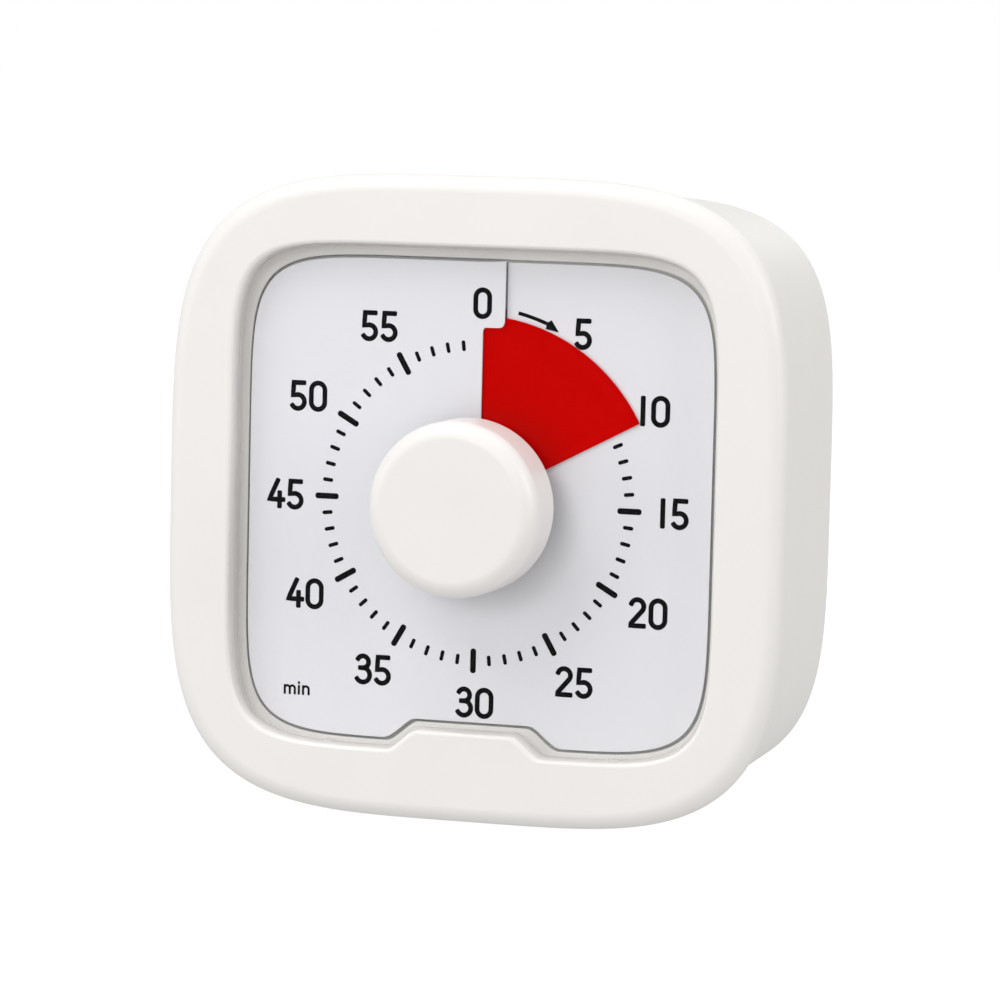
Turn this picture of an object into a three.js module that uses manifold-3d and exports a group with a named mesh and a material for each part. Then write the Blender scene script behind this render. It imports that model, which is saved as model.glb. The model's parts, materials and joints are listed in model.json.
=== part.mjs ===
// Sixty-minute visual countdown timer: a square shell with a rounded front bezel, a clear window,
// a dial whose red disc slides out through a slit as the knob is turned, and a quartz movement,
// one AA cell, a sounder and its switch behind the dial.
//
// Millimetres. The object stands on z = 0, the dial faces -Y, +X is to the right of a person who
// reads it. Sub-parts are shaped in a design frame whose origin is the middle of the body's outline
// on the plane of the dial, and one group moves them all to the frame of the object.

import * as THREE from 'three';
import { mergeVertices } from 'three/addons/utils/BufferGeometryUtils.js';
import Module from 'manifold-3d';

const wasm = await Module();
wasm.setup();

// ---------------------------------------------------------------- driving dimensions

const GAP = 0.3;                   // space left between neighbouring solids

const BODY_HALF_WIDTH = 42.7;      // widest line of the bezel
const BODY_HALF_HEIGHT = 42.9;
const BODY_POWER = 4;              // superellipse power of the bezel's outline
const BEZEL_FRONT = -4.4;          // y of the bezel's flat front
const BEZEL_EDGE_RADIUS = 2.28;    // full round along the bezel's outer edge
const BEZEL_FILLET = 0.5;          // round down to the window

const WINDOW_HALF = 33.6;
const WINDOW_POWER = 7;
const TAB_HEIGHT = 2.8;            // bezel tab below the dial's 30
const TAB_HALF_TOP = 7.2;
const TAB_FLANK = 3.6;

const LENS_FRONT = -3.1;
const LENS_BACK = -2.05;
const LENS_BEVEL = 0.5;
const LENS_HOLE = 6.0;

// Behind its front the bezel has a skirt that enters the rear housing, a channel, and the ledge
// that the lens lies on.
const SKIRT = { outer: 38.5, inner: 37.2, front: -3.0, back: 3.5 };
const CHANNEL = { half: 35.4, power: 5 };
const LEDGE = { half: 32.6, front: LENS_BACK + GAP, back: -1.1 };

const REAR_HALF = 40.9;            // rear housing beside the bezel
const REAR_HALF_BACK = 40.3;       // and where its back edge starts to round
const REAR_POWER = 4.4;
const REAR_FRONT = 0.35;
const BACK = 33.9;                 // y of the flat back
const BACK_EDGE_RADIUS = 2.2;
const WALL = 1.9;
const BACK_WALL = 2.3;
const INNER_BACK = BACK - BACK_WALL;

const AXIS_Z = -0.5;               // height of the dial's axis in the design frame
const KNOB_RADIUS = 11.65;
const KNOB_FRONT = -12.2;
const KNOB_BACK = -3.4;
const KNOB_EDGE = 2.35;            // round along the knob's front edge
const KNOB_RIM = { inner: 9.6, web: -10.2 };
const KNOB_CORE = { radius: 5.3, back: -2.3 };
const KNOB_SLEEVE = { radius: 2.9, bore: 2.05, front: -9.3, back: 2.0 };
const KEY = { half: 0.4, play: 0.35 };       // the knob's key, which turns the disc and lets it climb

const SPINDLE_RADIUS = 1.75;
const SPINDLE_FRONT = -9.0;
const SPINDLE_END = 15.4;
const WASHER = { inner: 2.1, outer: 3.5, front: 8.5, back: 9.7, sheet: 0.3 };
const COLLAR = { radius: 3.2, front: 10.0, back: 10.8 };
const CLIP = { groove: 1.2, front: 14.65, back: 15.2, inner: 1.4, outer: 3.6, mouth: 0.6 };

const DIAL_HALF = 33.4;
const DIAL_HOLE = 6.0;
const DIAL_SHEET = 0.25;
const DISC_SHEET = 0.15;
const DISC_RADIUS = 24.9;
const HUB = { inner: 3.2, outer: 5.4, front: -0.9, back: 1.6 };
const PITCH = 0.7;                 // rise of dial and disc in one turn
const SET_ANGLE = 62.3 * Math.PI / 180;
const SLIT_EDGE = 0.4;             // the slit's left edge, just right of twelve o'clock
const SLIT_JOG_RADIUS = 23.4;      // here the slit steps to the right, past the 0
const SLIT_JOG = 3.4;

const SCREW_X = 20;                // four screws hold the shell together
const SCREW_Z = 35.5;
const POST = { radius: 2.3, front: -1.6, back: 12, pilot: 1.4, pilotFront: 2 };
const POST_CLEARANCE = POST.radius + 0.35;
const TUBE_RADIUS = 3.2;
const WELL = { radius: 2.4, floor: POST.back + GAP + 2.5 };
const HOUSING_SCREW = { head: 2.0, height: 1.6, shank: 1.1, length: 9.5 };
const MOVEMENT_SCREW = { head: 1.9, height: 1.3, shank: 0.75, length: 5.0 };
const BOARD_SCREW = { head: 1.9, height: 1.2, shank: 0.75, length: 5.5 };

const EARS = [[-31, AXIS_Z - 4], [31, AXIS_Z - 4], [0, AXIS_Z + 33.6]];
const EAR = { radius: 3.2, hole: 1.2, front: 5.3, back: 7.0 };
const CARRIER = { half: 36.6, front: 0.45, back: 2.6, well: 26.0, wellFloor: 1.2, bossBack: 5.0 };

// One wheel train, from the spindle to the rotor: 50 to 10, 48 to 8 and 48 to 8 teeth.
const MODULE_SLOW = 0.5;
const MODULE_FAST = 0.4;
const PRESSURE_ANGLE = 20 * Math.PI / 180;
const TOOTH_THINNING = 0.26;       // play between teeth, in modules
const WHEEL = { addendum: 0.75, dedendum: 1.2, flank: 1 };
const PINION = { addendum: 0.85, dedendum: 1.15, flank: 2 };
const DRIVE_WHEEL = { rim: { y0: 5.2, y1: 6.6 }, hub: { radius: 3.6, y0: 4.9, y1: 8.2 } };
const SECOND_WHEEL = { pinion: { y0: 5.0, y1: 7.5 }, wheel: { y0: 7.4, y1: 8.3 } };
const THIRD_WHEEL = { pinion: { y0: 7.1, y1: 9.4 }, wheel: { y0: 9.3, y1: 10.2 } };
const ROTOR = { pinion: { y0: 9.0, y1: 10.5 }, magnet: { radius: 2.2, front: 10.9, back: 12.3 } };
const CENTRE_PLAY = 0.1;
const SLOW_CENTRES = MODULE_SLOW * (50 + 10) / 2 + CENTRE_PLAY;
const FAST_CENTRES = MODULE_FAST * (48 + 8) / 2 + CENTRE_PLAY;
const SECOND_BEARING = 35 * Math.PI / 180;   // directions from one arbor to the next
const THIRD_BEARING = 130 * Math.PI / 180;
const ROTOR_BEARING = 185 * Math.PI / 180;
const SPINDLE_AT = [0, AXIS_Z];
const SECOND_AT = step(SPINDLE_AT, SLOW_CENTRES, SECOND_BEARING);
const THIRD_AT = step(SECOND_AT, FAST_CENTRES, THIRD_BEARING);
const ROTOR_AT = step(THIRD_AT, FAST_CENTRES, ROTOR_BEARING);

const CASE = { half: 27, low: -16.5, high: 30, front: 4.5, back: 14.4, wall: 1.5 };
const PLATE = { front: 3.0, back: 4.2 };
const ARBOR = { radius: 0.6, front: PLATE.back + GAP, back: CASE.back - CASE.wall - GAP };
const PIVOT_RADIUS = 0.45;

const LEG = { low: AXIS_Z + 23.6, high: AXIS_Z + 25.0 };
const STATOR = { front: 10.9, back: 11.7, left: -24, right: ROTOR_AT[0] + 4, bore: 2.9 };
const COIL = { left: -20, right: -6.2, flange: 0.7 };

const BAY = { half: 28.5, low: -25.2, high: -8.8, floor: 16.3, wall: 1.5 };
const DOOR_MARGIN = 1.0;
const DOOR_PIVOT = { y: BACK - 1, z: BAY.low - DOOR_MARGIN + GAP + 1, pin: 0.55, notch: 0.8, reach: 0.9 };
const TONGUE = { half: 4, reach: 1.6, low: BAY.high - 1.9, high: BAY.high - 0.5 };
const GRIP = { half: 5, depth: 0.7, low: 3.2, high: 1.4 };   // low and high are below the door's top edge
const CELL_RADIUS = 7.1;
const CELL_Y = 24.2;
const CELL_Z = (BAY.low + BAY.high) / 2;
const CELL_END = BAY.half - 1.0;   // x of the cell's positive button
const CELL_LENGTH = 50.5;
const CELL_BUTTON = { radius: 2.7, height: 1.3 };
const SPRING = { turns: 4, wide: 5.2, narrow: 2.6, wire: 0.4, inset: 0.75 };
const CONTACT = { inset: 0.6, sheet: 0.4, halfY: 6, halfZ: 5 };

const SLIDER_X = -19;
const SLIDER_Z = 21;
const SLIDER = { halfX: 3.8, halfZ: 2.8, height: 1.1, nub: 1.6, nubBack: BACK - 0.5, ridge: 0.17 };
const SLIDER_RIDGES = [-1.1, -0.35, 0.35, 1.1];
const SWITCH = { halfX: 6, halfZ: 3, back: INNER_BACK - 1.7, slotX: 4.2, slotZ: 2 };
const SOUNDER = { x: 18, z: 20, radius: 8.5, height: 4.8, port: 1.2, portDepth: 1.2, bevel: 0.6 };
const SOUND_HOLES = { radius: 0.9, ring: 3.6, count: 6 };
const BOARD = { front: 23.5, back: 25.0, half: 29, low: -5, high: 30 };
const BOARD_SCREWS = [[0, 26.5], [0, 4.5]];
const BOARD_POST = { radius: 2.5, hole: 1.1 };
const CHIP = { left: -11, right: -4, low: 12, high: 19, height: 1.5 };
const CRYSTAL = { x: 9, z: 15, radius: 1.0, length: 4.2 };
const MAGNETS = [[-28, 2], [28, 2]];
const MAGNET_RADIUS = 5;
const MAGNET_BOSS = { wall: 1.6, depth: 2, pocket: 0.8 };
const FEET = [[-17, 27], [17, 27]];
const FOOT = { radius: 4, height: 1.4, pad: 0.6, padLow: 1.7, padHigh: 4.1 };

const CIRCLE = 16;                 // sides of ordinary round features
const SMALL_CIRCLE = 8;            // and of screws, pivots and small holes
const FINE_CIRCLE = 32;            // and of the knob and the largest bores
const OUTLINE = 60;                // rays of the shell outlines

// ---------------------------------------------------------------- solids and joining them

function signedVolume(positions, index) {
  const a = new THREE.Vector3();
  const b = new THREE.Vector3();
  const c = new THREE.Vector3();
  let sum = 0;
  for (let i = 0; i < index.length; i += 3) {
    a.fromArray(positions, index[i] * 3);
    b.fromArray(positions, index[i + 1] * 3);
    c.fromArray(positions, index[i + 2] * 3);
    sum += a.dot(b.cross(c));
  }
  return sum / 6;
}

// A closed three.js geometry as a manifold solid with its faces pointing out.
function solid(geometry) {
  const bare = new THREE.BufferGeometry();
  bare.setAttribute('position', geometry.getAttribute('position').clone());
  if (geometry.index) bare.setIndex(geometry.index.clone());
  const merged = mergeVertices(bare, 1e-4);
  const positions = merged.getAttribute('position').array;
  const kept = [];
  const source = merged.index.array;
  for (let i = 0; i < source.length; i += 3) {
    const [a, b, c] = [source[i], source[i + 1], source[i + 2]];
    if (a !== b && b !== c && a !== c) kept.push(a, b, c);
  }
  if (signedVolume(positions, kept) < 0) kept.reverse();
  return new wasm.Manifold(new wasm.Mesh({
    numProp: 3,
    vertProperties: new Float32Array(positions),
    triVerts: new Uint32Array(kept),
  }));
}

function geometryOf(body) {
  const mesh = body.getMesh();
  const geometry = new THREE.BufferGeometry();
  geometry.setAttribute('position', new THREE.BufferAttribute(new Float32Array(mesh.vertProperties), 3));
  geometry.setIndex(new THREE.BufferAttribute(new Uint32Array(mesh.triVerts), 1));
  geometry.computeVertexNormals();
  return geometry;
}

function join(bodies) {
  return bodies.reduce((all, body) => all.add(body));
}

function cut(body, tools) {
  return tools.reduce((rest, tool) => rest.subtract(tool), body);
}

function box(x0, x1, y0, y1, z0, z1) {
  const geometry = new THREE.BoxGeometry(x1 - x0, y1 - y0, z1 - z0);
  geometry.translate((x0 + x1) / 2, (y0 + y1) / 2, (z0 + z1) / 2);
  return solid(geometry);
}

// A rod along Y between y0 and y1.
function rod(radius, y0, y1, x = 0, z = 0, sides = CIRCLE) {
  const geometry = new THREE.CylinderGeometry(radius, radius, y1 - y0, sides);
  geometry.translate(x, (y0 + y1) / 2, z);
  return solid(geometry);
}

// A turned shape about the Y axis from [radius, y] pairs, then moved to (x, z).
function turned(profile, x = 0, z = 0, sides = CIRCLE) {
  const points = profile.map(([radius, y]) => new THREE.Vector2(radius, y));
  const geometry = new THREE.LatheGeometry(points, sides);
  geometry.translate(x, 0, z);
  return solid(geometry);
}

// An outline in X and Z, given a depth along Y.
function plate(shape, y0, y1, curveSegments = 12) {
  const geometry = new THREE.ExtrudeGeometry(shape, { depth: y1 - y0, bevelEnabled: false, curveSegments });
  geometry.rotateX(Math.PI / 2);
  geometry.translate(0, y1, 0);
  return solid(geometry);
}

function arc(cx, cy, radius, from, to, steps) {
  const points = [];
  for (let i = 0; i <= steps; i += 1) {
    const angle = from + (to - from) * i / steps;
    points.push([cx + radius * Math.cos(angle), cy + radius * Math.sin(angle)]);
  }
  return points;
}

// ---------------------------------------------------------------- outlines and lofts

// How far the bezel's tab lifts the window's lower edge at x, for an outline that lies `out` mm
// outside the window.
function tabLift(x, out) {
  const inside = (TAB_HALF_TOP + TAB_FLANK - out - Math.abs(x)) / TAB_FLANK;
  return TAB_HEIGHT * THREE.MathUtils.smoothstep(inside, 0, 1);
}

// One closed outline of a section: a superellipse, met by evenly spaced rays.
function section({ half, y, power, tall = 0, tab = null }) {
  const points = [];
  for (let i = 0; i < OUTLINE; i += 1) {
    const angle = 2 * Math.PI * i / OUTLINE;
    const c = Math.cos(angle);
    const s = Math.sin(angle);
    let radius = ((Math.abs(c) / half) ** power + (Math.abs(s) / (half + tall)) ** power) ** (-1 / power);
    if (tab !== null && s < 0) radius -= tabLift(radius * c, tab) / Math.max(-s, 0.5);
    points.push(new THREE.Vector3(radius * c, y, radius * s));
  }
  return points;
}

// Skins a list of sections. A closed loft runs round from the last section to the first; an open
// one is capped at both ends.
function loft(sections, closed) {
  const positions = [];
  const index = [];
  const rows = sections.length;
  for (const points of sections) {
    for (const p of points) positions.push(p.x, p.y, p.z);
  }
  for (let row = 0; row < (closed ? rows : rows - 1); row += 1) {
    const next = (row + 1) % rows;
    for (let i = 0; i < OUTLINE; i += 1) {
      const j = (i + 1) % OUTLINE;
      const a = row * OUTLINE + i;
      const b = row * OUTLINE + j;
      const c = next * OUTLINE + j;
      const d = next * OUTLINE + i;
      index.push(a, b, c, a, c, d);
    }
  }
  if (!closed) {
    for (const [row, flip] of [[0, true], [rows - 1, false]]) {
      const centre = positions.length / 3;
      positions.push(0, sections[row][0].y, 0);
      for (let i = 0; i < OUTLINE; i += 1) {
        const a = row * OUTLINE + i;
        const b = row * OUTLINE + (i + 1) % OUTLINE;
        index.push(...(flip ? [centre, b, a] : [centre, a, b]));
      }
    }
  }
  const geometry = new THREE.BufferGeometry();
  geometry.setAttribute('position', new THREE.Float32BufferAttribute(positions, 3));
  geometry.setIndex(index);
  return solid(geometry);
}

// A thin sheet that climbs PITCH in each clockwise turn, from angle u0 to u1 (clockwise from twelve
// o'clock), between the inner radius and reach(u). Its middle lies `lift` in front of PITCH * u.
function helicoid({ inner, reach, u0, u1, columns, lift, sheet }) {
  const positions = [];
  const index = [];
  for (let i = 0; i <= columns; i += 1) {
    const u = u0 + (u1 - u0) * i / columns;
    const y = -(PITCH * u / (2 * Math.PI) + lift);
    const outer = reach(u);
    for (const [radius, face] of [[inner, 1], [outer, 1], [outer, -1], [inner, -1]]) {
      positions.push(radius * Math.sin(u), y - face * sheet / 2, AXIS_Z + radius * Math.cos(u));
    }
  }
  for (let i = 0; i < columns; i += 1) {
    for (let k = 0; k < 4; k += 1) {
      const a = 4 * i + k;
      const b = 4 * i + (k + 1) % 4;
      index.push(a, b, b + 4, a, b + 4, a + 4);
    }
  }
  const last = 4 * columns;
  index.push(0, 2, 1, 0, 3, 2);
  index.push(last, last + 1, last + 2, last, last + 2, last + 3);
  const geometry = new THREE.BufferGeometry();
  geometry.setAttribute('position', new THREE.Float32BufferAttribute(positions, 3));
  geometry.setIndex(index);
  return solid(geometry);
}

// The radius of a superellipse at the clockwise angle u.
function squareReach(half, power) {
  return (u) => {
    const across = (Math.abs(Math.sin(u)) / half) ** power;
    const up = (Math.abs(Math.cos(u)) / half) ** power;
    return (across + up) ** (-1 / power);
  };
}

// ---------------------------------------------------------------- shell

function corners(x, z) {
  return [[-x, -z], [x, -z], [-x, z], [x, z]];
}

// Rods along Y at the four screws of the shell.
function screwRods(radius, y0, y1, sides = CIRCLE) {
  return corners(SCREW_X, SCREW_Z).map(([x, z]) => rod(radius, y0, y1, x, z, sides));
}

function bezelSections() {
  const tall = BODY_HALF_HEIGHT - BODY_HALF_WIDTH;
  const roundHalf = BODY_HALF_WIDTH - BEZEL_EDGE_RADIUS;
  const roundY = BEZEL_FRONT + BEZEL_EDGE_RADIUS;
  const quarter = Math.PI / 2;
  const outer = arc(roundHalf, roundY, BEZEL_EDGE_RADIUS, -quarter, quarter * 0.78, 5)
    .map(([half, y]) => ({ half, y, power: BODY_POWER, tall }));
  const underside = outer[outer.length - 1].y;
  const skirt = [
    [SKIRT.outer, underside],
    [SKIRT.outer, SKIRT.back],
    [SKIRT.inner, SKIRT.back],
    [SKIRT.inner, SKIRT.front],
  ].map(([half, y]) => ({ half, y, power: REAR_POWER }));
  const channel = [SKIRT.front, LEDGE.back].map((y) => ({ half: CHANNEL.half, y, power: CHANNEL.power }));
  const rounded = BEZEL_FILLET;
  const window = [
    [LEDGE.half, LEDGE.back],
    [LEDGE.half, LEDGE.front],
    [WINDOW_HALF, LEDGE.front],
    ...arc(WINDOW_HALF + rounded, BEZEL_FRONT + rounded, rounded, Math.PI, 1.5 * Math.PI, 2),
  ].map(([half, y]) => ({ half, y, power: WINDOW_POWER, tab: half - WINDOW_HALF }));
  return [...outer, ...skirt, ...channel, ...window].map(section);
}

function frontBezel() {
  const ring = loft(bezelSections(), true);
  const posts = screwRods(POST.radius, POST.front, POST.back);
  return cut(join([ring, ...posts]), screwRods(POST.pilot, POST.pilotFront, POST.back + 1, SMALL_CIRCLE));
}

function lens() {
  const edge = WINDOW_HALF - GAP;
  const sheet = loft([
    section({ half: edge, y: LENS_BACK, power: WINDOW_POWER, tab: -GAP }),
    section({ half: edge, y: LENS_FRONT + LENS_BEVEL, power: WINDOW_POWER, tab: -GAP }),
    section({ half: edge - LENS_BEVEL, y: LENS_FRONT, power: WINDOW_POWER, tab: -GAP - LENS_BEVEL }),
  ], false);
  return cut(sheet, [rod(LENS_HOLE, LENS_FRONT - 1, LENS_BACK + 1, 0, AXIS_Z, FINE_CIRCLE)]);
}

function rearShell() {
  const roundHalf = REAR_HALF_BACK - BACK_EDGE_RADIUS;
  const outside = [
    [REAR_HALF, REAR_FRONT],
    [REAR_HALF - 0.1, 10],
    ...arc(roundHalf, BACK - BACK_EDGE_RADIUS, BACK_EDGE_RADIUS, 0, Math.PI / 2, 3),
  ];
  const inside = [[REAR_HALF - WALL, REAR_FRONT - 1], [REAR_HALF_BACK - WALL, INNER_BACK]];
  const toSection = ([half, y]) => section({ half, y, power: REAR_POWER });
  return loft(outside.map(toSection), false).subtract(loft(inside.map(toSection), false));
}

// The battery bay's own walls, before the bay is cut out of them.
function bayBlock() {
  const { half, low, high, floor, wall } = BAY;
  return box(-half - wall, half + wall, floor - wall, BACK - 1, low - wall, high + wall);
}

// The door's outline, `gap` mm larger than its opening all round and towards the front.
function doorOpening(gap) {
  const margin = DOOR_MARGIN + gap;
  return { x: BAY.half + margin, low: BAY.low - margin, high: BAY.high + margin, y: INNER_BACK - gap };
}

function soundHoles() {
  const hole = (x, z) => rod(SOUND_HOLES.radius, INNER_BACK - 1, BACK + 1, x, z, SMALL_CIRCLE);
  const holes = [hole(SOUNDER.x, SOUNDER.z)];
  for (let i = 0; i < SOUND_HOLES.count; i += 1) {
    holes.push(hole(...step([SOUNDER.x, SOUNDER.z], SOUND_HOLES.ring, 2 * Math.PI * i / SOUND_HOLES.count)));
  }
  return holes;
}

// What stands inside the rear housing: screw tubes, magnet bosses, board posts and foot pads.
function housingInside() {
  const bossRadius = MAGNET_RADIUS + MAGNET_BOSS.wall;
  const padRadius = FOOT.radius + FOOT.pad;
  return [
    bayBlock(),
    ...screwRods(TUBE_RADIUS, POST.back + GAP, BACK - 1),
    ...MAGNETS.map(([x, z]) => rod(bossRadius, INNER_BACK - MAGNET_BOSS.depth, BACK - 1, x, z)),
    ...BOARD_SCREWS.map(([x, z]) => rod(BOARD_POST.radius, BOARD.back + GAP, BACK - 1, x, z)),
    ...FEET.map(([x, y]) => footDisc(x, y, padRadius, FOOT.padLow, FOOT.padHigh)),
  ];
}

function housingOpenings() {
  const { half, low, high, floor } = BAY;
  const opening = doorOpening(0);
  const pocketRadius = MAGNET_RADIUS + GAP;
  const { slotX, slotZ } = SWITCH;
  return [
    box(-half, half, floor, BACK + 1, low, high),
    box(-opening.x, opening.x, opening.y, BACK + 1, opening.low, opening.high),
    pivotRod(opening.x + DOOR_PIVOT.reach + GAP, DOOR_PIVOT.notch),
    ...screwRods(POST.pilot, POST.back - 1, WELL.floor + 1, SMALL_CIRCLE),
    ...screwRods(WELL.radius, WELL.floor, BACK + 1),
    ...MAGNETS.map(([x, z]) => rod(pocketRadius, INNER_BACK - MAGNET_BOSS.pocket, BACK + 1, x, z)),
    ...BOARD_SCREWS.map(([x, z]) => rod(BOARD_POST.hole, BOARD.back, INNER_BACK - 1, x, z, SMALL_CIRCLE)),
    box(SLIDER_X - slotX, SLIDER_X + slotX, INNER_BACK - 1, BACK + 1, SLIDER_Z - slotZ, SLIDER_Z + slotZ),
    ...soundHoles(),
  ];
}

function rearHousing() {
  return cut(join([rearShell(), ...housingInside()]), housingOpenings());
}

// A rod along the battery door's hinge.
function pivotRod(halfLength, radius, sides = SMALL_CIRCLE) {
  const geometry = new THREE.CylinderGeometry(radius, radius, 2 * halfLength, sides);
  geometry.rotateZ(Math.PI / 2);
  geometry.translate(0, DOOR_PIVOT.y, DOOR_PIVOT.z);
  return solid(geometry);
}

// The door turns on two short pins at its lower corners, and its lower edge is round about them.
function batteryDoor() {
  const opening = doorOpening(-GAP);
  const heelRadius = (BACK - opening.y) / 2;
  const top = opening.high;
  return cut(join([
    box(-opening.x, opening.x, opening.y, BACK, DOOR_PIVOT.z, top),
    pivotRod(opening.x, heelRadius, CIRCLE),
    box(-TONGUE.half, TONGUE.half, opening.y - TONGUE.reach, BACK - 1, TONGUE.low, TONGUE.high),
    pivotRod(opening.x + DOOR_PIVOT.reach, DOOR_PIVOT.pin),
  ]), [
    box(-GRIP.half, GRIP.half, BACK - GRIP.depth, BACK + 1, top - GRIP.low, top - GRIP.high),
  ]);
}

// A disc with its axis along Z; low and high are heights above the ground.
function footDisc(x, y, radius, low, high) {
  const geometry = new THREE.CylinderGeometry(radius, radius, high - low, CIRCLE);
  geometry.rotateX(Math.PI / 2);
  geometry.translate(x, y, (low + high) / 2 - BODY_HALF_HEIGHT);
  return solid(geometry);
}

function rearFoot([x, y]) {
  return footDisc(x, y, FOOT.radius, 0, FOOT.height);
}

function magnet([x, z]) {
  return rod(MAGNET_RADIUS, INNER_BACK - 0.5, BACK - 0.2, x, z);
}

// A screw driven from behind: its head is towards +Y, with a cross recess.
function screw(x, z, headBack, { head, height, shank, length }) {
  const neck = headBack - height;
  const tip = neck - length;
  const body = turned([
    [0, tip],
    [shank * 0.5, tip],
    [shank, tip + 0.8],
    [shank, neck],
    [head, neck],
    [head, headBack - height * 0.45],
    [head * 0.7, headBack],
    [0, headBack],
  ], x, z, SMALL_CIRCLE);
  const long = head * 0.55;
  const wide = head * 0.16;
  const floor = headBack - height * 0.5;
  return cut(body, [
    box(x - long, x + long, floor, headBack + 1, z - wide, z + wide),
    box(x - wide, x + wide, floor, headBack + 1, z - long, z + long),
  ]);
}

function housingScrew([x, z]) {
  return screw(x, z, WELL.floor + GAP + HOUSING_SCREW.height, HOUSING_SCREW);
}

// ---------------------------------------------------------------- dial, disc and knob

// The sector just clockwise of twelve o'clock, where the upper edge of the dial is trimmed.
function slitSector() {
  const reach = DIAL_HALF + 6;
  const angle = 12 * Math.PI / 180;
  const shape = new THREE.Shape([
    new THREE.Vector2(0, AXIS_Z),
    new THREE.Vector2(reach * Math.tan(angle), AXIS_Z + reach),
    new THREE.Vector2(0, AXIS_Z + reach),
  ]);
  return plate(shape, -3, 1);
}

// The dial is one turn of a shallow helix, so its two edges stand one above the other at the slit
// and the disc passes between them. A tab of the upper edge reaches past the 0.
function dialPlate() {
  const overlap = 9 * Math.PI / 180;
  const sheet = helicoid({
    inner: DIAL_HOLE,
    reach: squareReach(DIAL_HALF, WINDOW_POWER),
    u0: 0,
    u1: 2 * Math.PI + overlap,
    columns: 48,
    lift: 0,
    sheet: DIAL_SHEET,
  });
  const between = -PITCH / 2;
  const far = DIAL_HALF + 4;
  const above = -2;
  return cut(sheet, [
    box(SLIT_EDGE, far, above, between, AXIS_Z, AXIS_Z + SLIT_JOG_RADIUS).intersect(slitSector()),
    box(SLIT_JOG, far, above, between, AXIS_Z, AXIS_Z + far).intersect(slitSector()),
    ...screwRods(POST_CLEARANCE, -3, 2),
  ]);
}

function redDisc() {
  const sheet = helicoid({
    inner: (HUB.inner + HUB.outer) / 2,
    reach: () => DISC_RADIUS,
    u0: SET_ANGLE - 2 * Math.PI,
    u1: SET_ANGLE,
    columns: 48,
    lift: PITCH / 2,
    sheet: DISC_SHEET,
  });
  const hub = turned([
    [HUB.inner, HUB.front],
    [HUB.outer, HUB.front],
    [HUB.outer, HUB.back],
    [HUB.inner, HUB.back],
    [HUB.inner, HUB.front],
  ], 0, AXIS_Z);
  const keyway = KEY.half + KEY.play;
  return cut(join([sheet, hub]), [box(-keyway, keyway, -2, 3, AXIS_Z + 2.5, AXIS_Z + 4.3)]);
}

function knob() {
  const { inner, web } = KNOB_RIM;
  const front = arc(KNOB_RADIUS - KNOB_EDGE, KNOB_FRONT + KNOB_EDGE, KNOB_EDGE, -Math.PI / 2, 0, 4);
  const body = turned([
    [0, KNOB_FRONT],
    ...front,
    [KNOB_RADIUS, KNOB_BACK - 0.4],
    [KNOB_RADIUS - 0.4, KNOB_BACK],
    [inner, KNOB_BACK],
    [inner, web],
    [KNOB_CORE.radius, web],
    [KNOB_CORE.radius, KNOB_CORE.back],
    [KNOB_SLEEVE.radius, KNOB_CORE.back],
    [KNOB_SLEEVE.radius, KNOB_SLEEVE.back],
    [KNOB_SLEEVE.bore, KNOB_SLEEVE.back],
    [KNOB_SLEEVE.bore, KNOB_SLEEVE.front],
    [0, KNOB_SLEEVE.front],
  ], 0, AXIS_Z, FINE_CIRCLE);
  const key = box(-KEY.half, KEY.half, KNOB_CORE.back - 0.3, KNOB_SLEEVE.back, AXIS_Z + 2.6, AXIS_Z + 3.9);
  return body.add(key);
}

function spindle() {
  return turned([
    [0, SPINDLE_FRONT],
    [SPINDLE_RADIUS, SPINDLE_FRONT],
    [SPINDLE_RADIUS, COLLAR.front],
    [COLLAR.radius, COLLAR.front],
    [COLLAR.radius, COLLAR.back],
    [SPINDLE_RADIUS, COLLAR.back],
    [SPINDLE_RADIUS, CLIP.front],
    [CLIP.groove, CLIP.front],
    [CLIP.groove, CLIP.back],
    [SPINDLE_RADIUS, CLIP.back],
    [SPINDLE_RADIUS, SPINDLE_END],
    [0, SPINDLE_END],
  ], 0, AXIS_Z);
}

function spindleClip() {
  const shape = new THREE.Shape();
  shape.absarc(0, AXIS_Z, CLIP.outer, CLIP.mouth, 2 * Math.PI - CLIP.mouth, false);
  shape.absarc(0, AXIS_Z, CLIP.inner, 2 * Math.PI - CLIP.mouth, CLIP.mouth, true);
  return plate(shape, CLIP.front + 0.1, CLIP.back - 0.1);
}

// The dished washer that lets the knob slip past the movement when it is set.
function clutchSpring() {
  const { inner, outer, front, back, sheet } = WASHER;
  return turned([
    [inner, front],
    [inner + 0.4, front],
    [outer, back - sheet],
    [outer, back],
    [outer - 0.4, back],
    [inner, front + sheet],
    [inner, front],
  ], 0, AXIS_Z);
}

function dialCarrier() {
  const floor = loft([
    section({ half: CARRIER.half, y: CARRIER.front, power: REAR_POWER }),
    section({ half: CARRIER.half, y: CARRIER.back, power: REAR_POWER }),
  ], false);
  const bosses = EARS.map(([x, z]) => rod(2.6, CARRIER.back - 0.4, CARRIER.bossBack, x, z));
  return cut(join([floor, ...bosses]), [
    rod(CARRIER.well, -1, CARRIER.wellFloor, 0, AXIS_Z, FINE_CIRCLE),
    rod(DIAL_HOLE, 0, 4, 0, AXIS_Z),
    ...EARS.map(([x, z]) => rod(1.05, 1.5, 6, x, z, SMALL_CIRCLE)),
    ...screwRods(POST_CLEARANCE, -1, 4),
  ]);
}

// ---------------------------------------------------------------- movement

// The point at a distance and bearing from another.
function step([x, z], distance, bearing) {
  return [x + distance * Math.cos(bearing), z + distance * Math.sin(bearing)];
}

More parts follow.
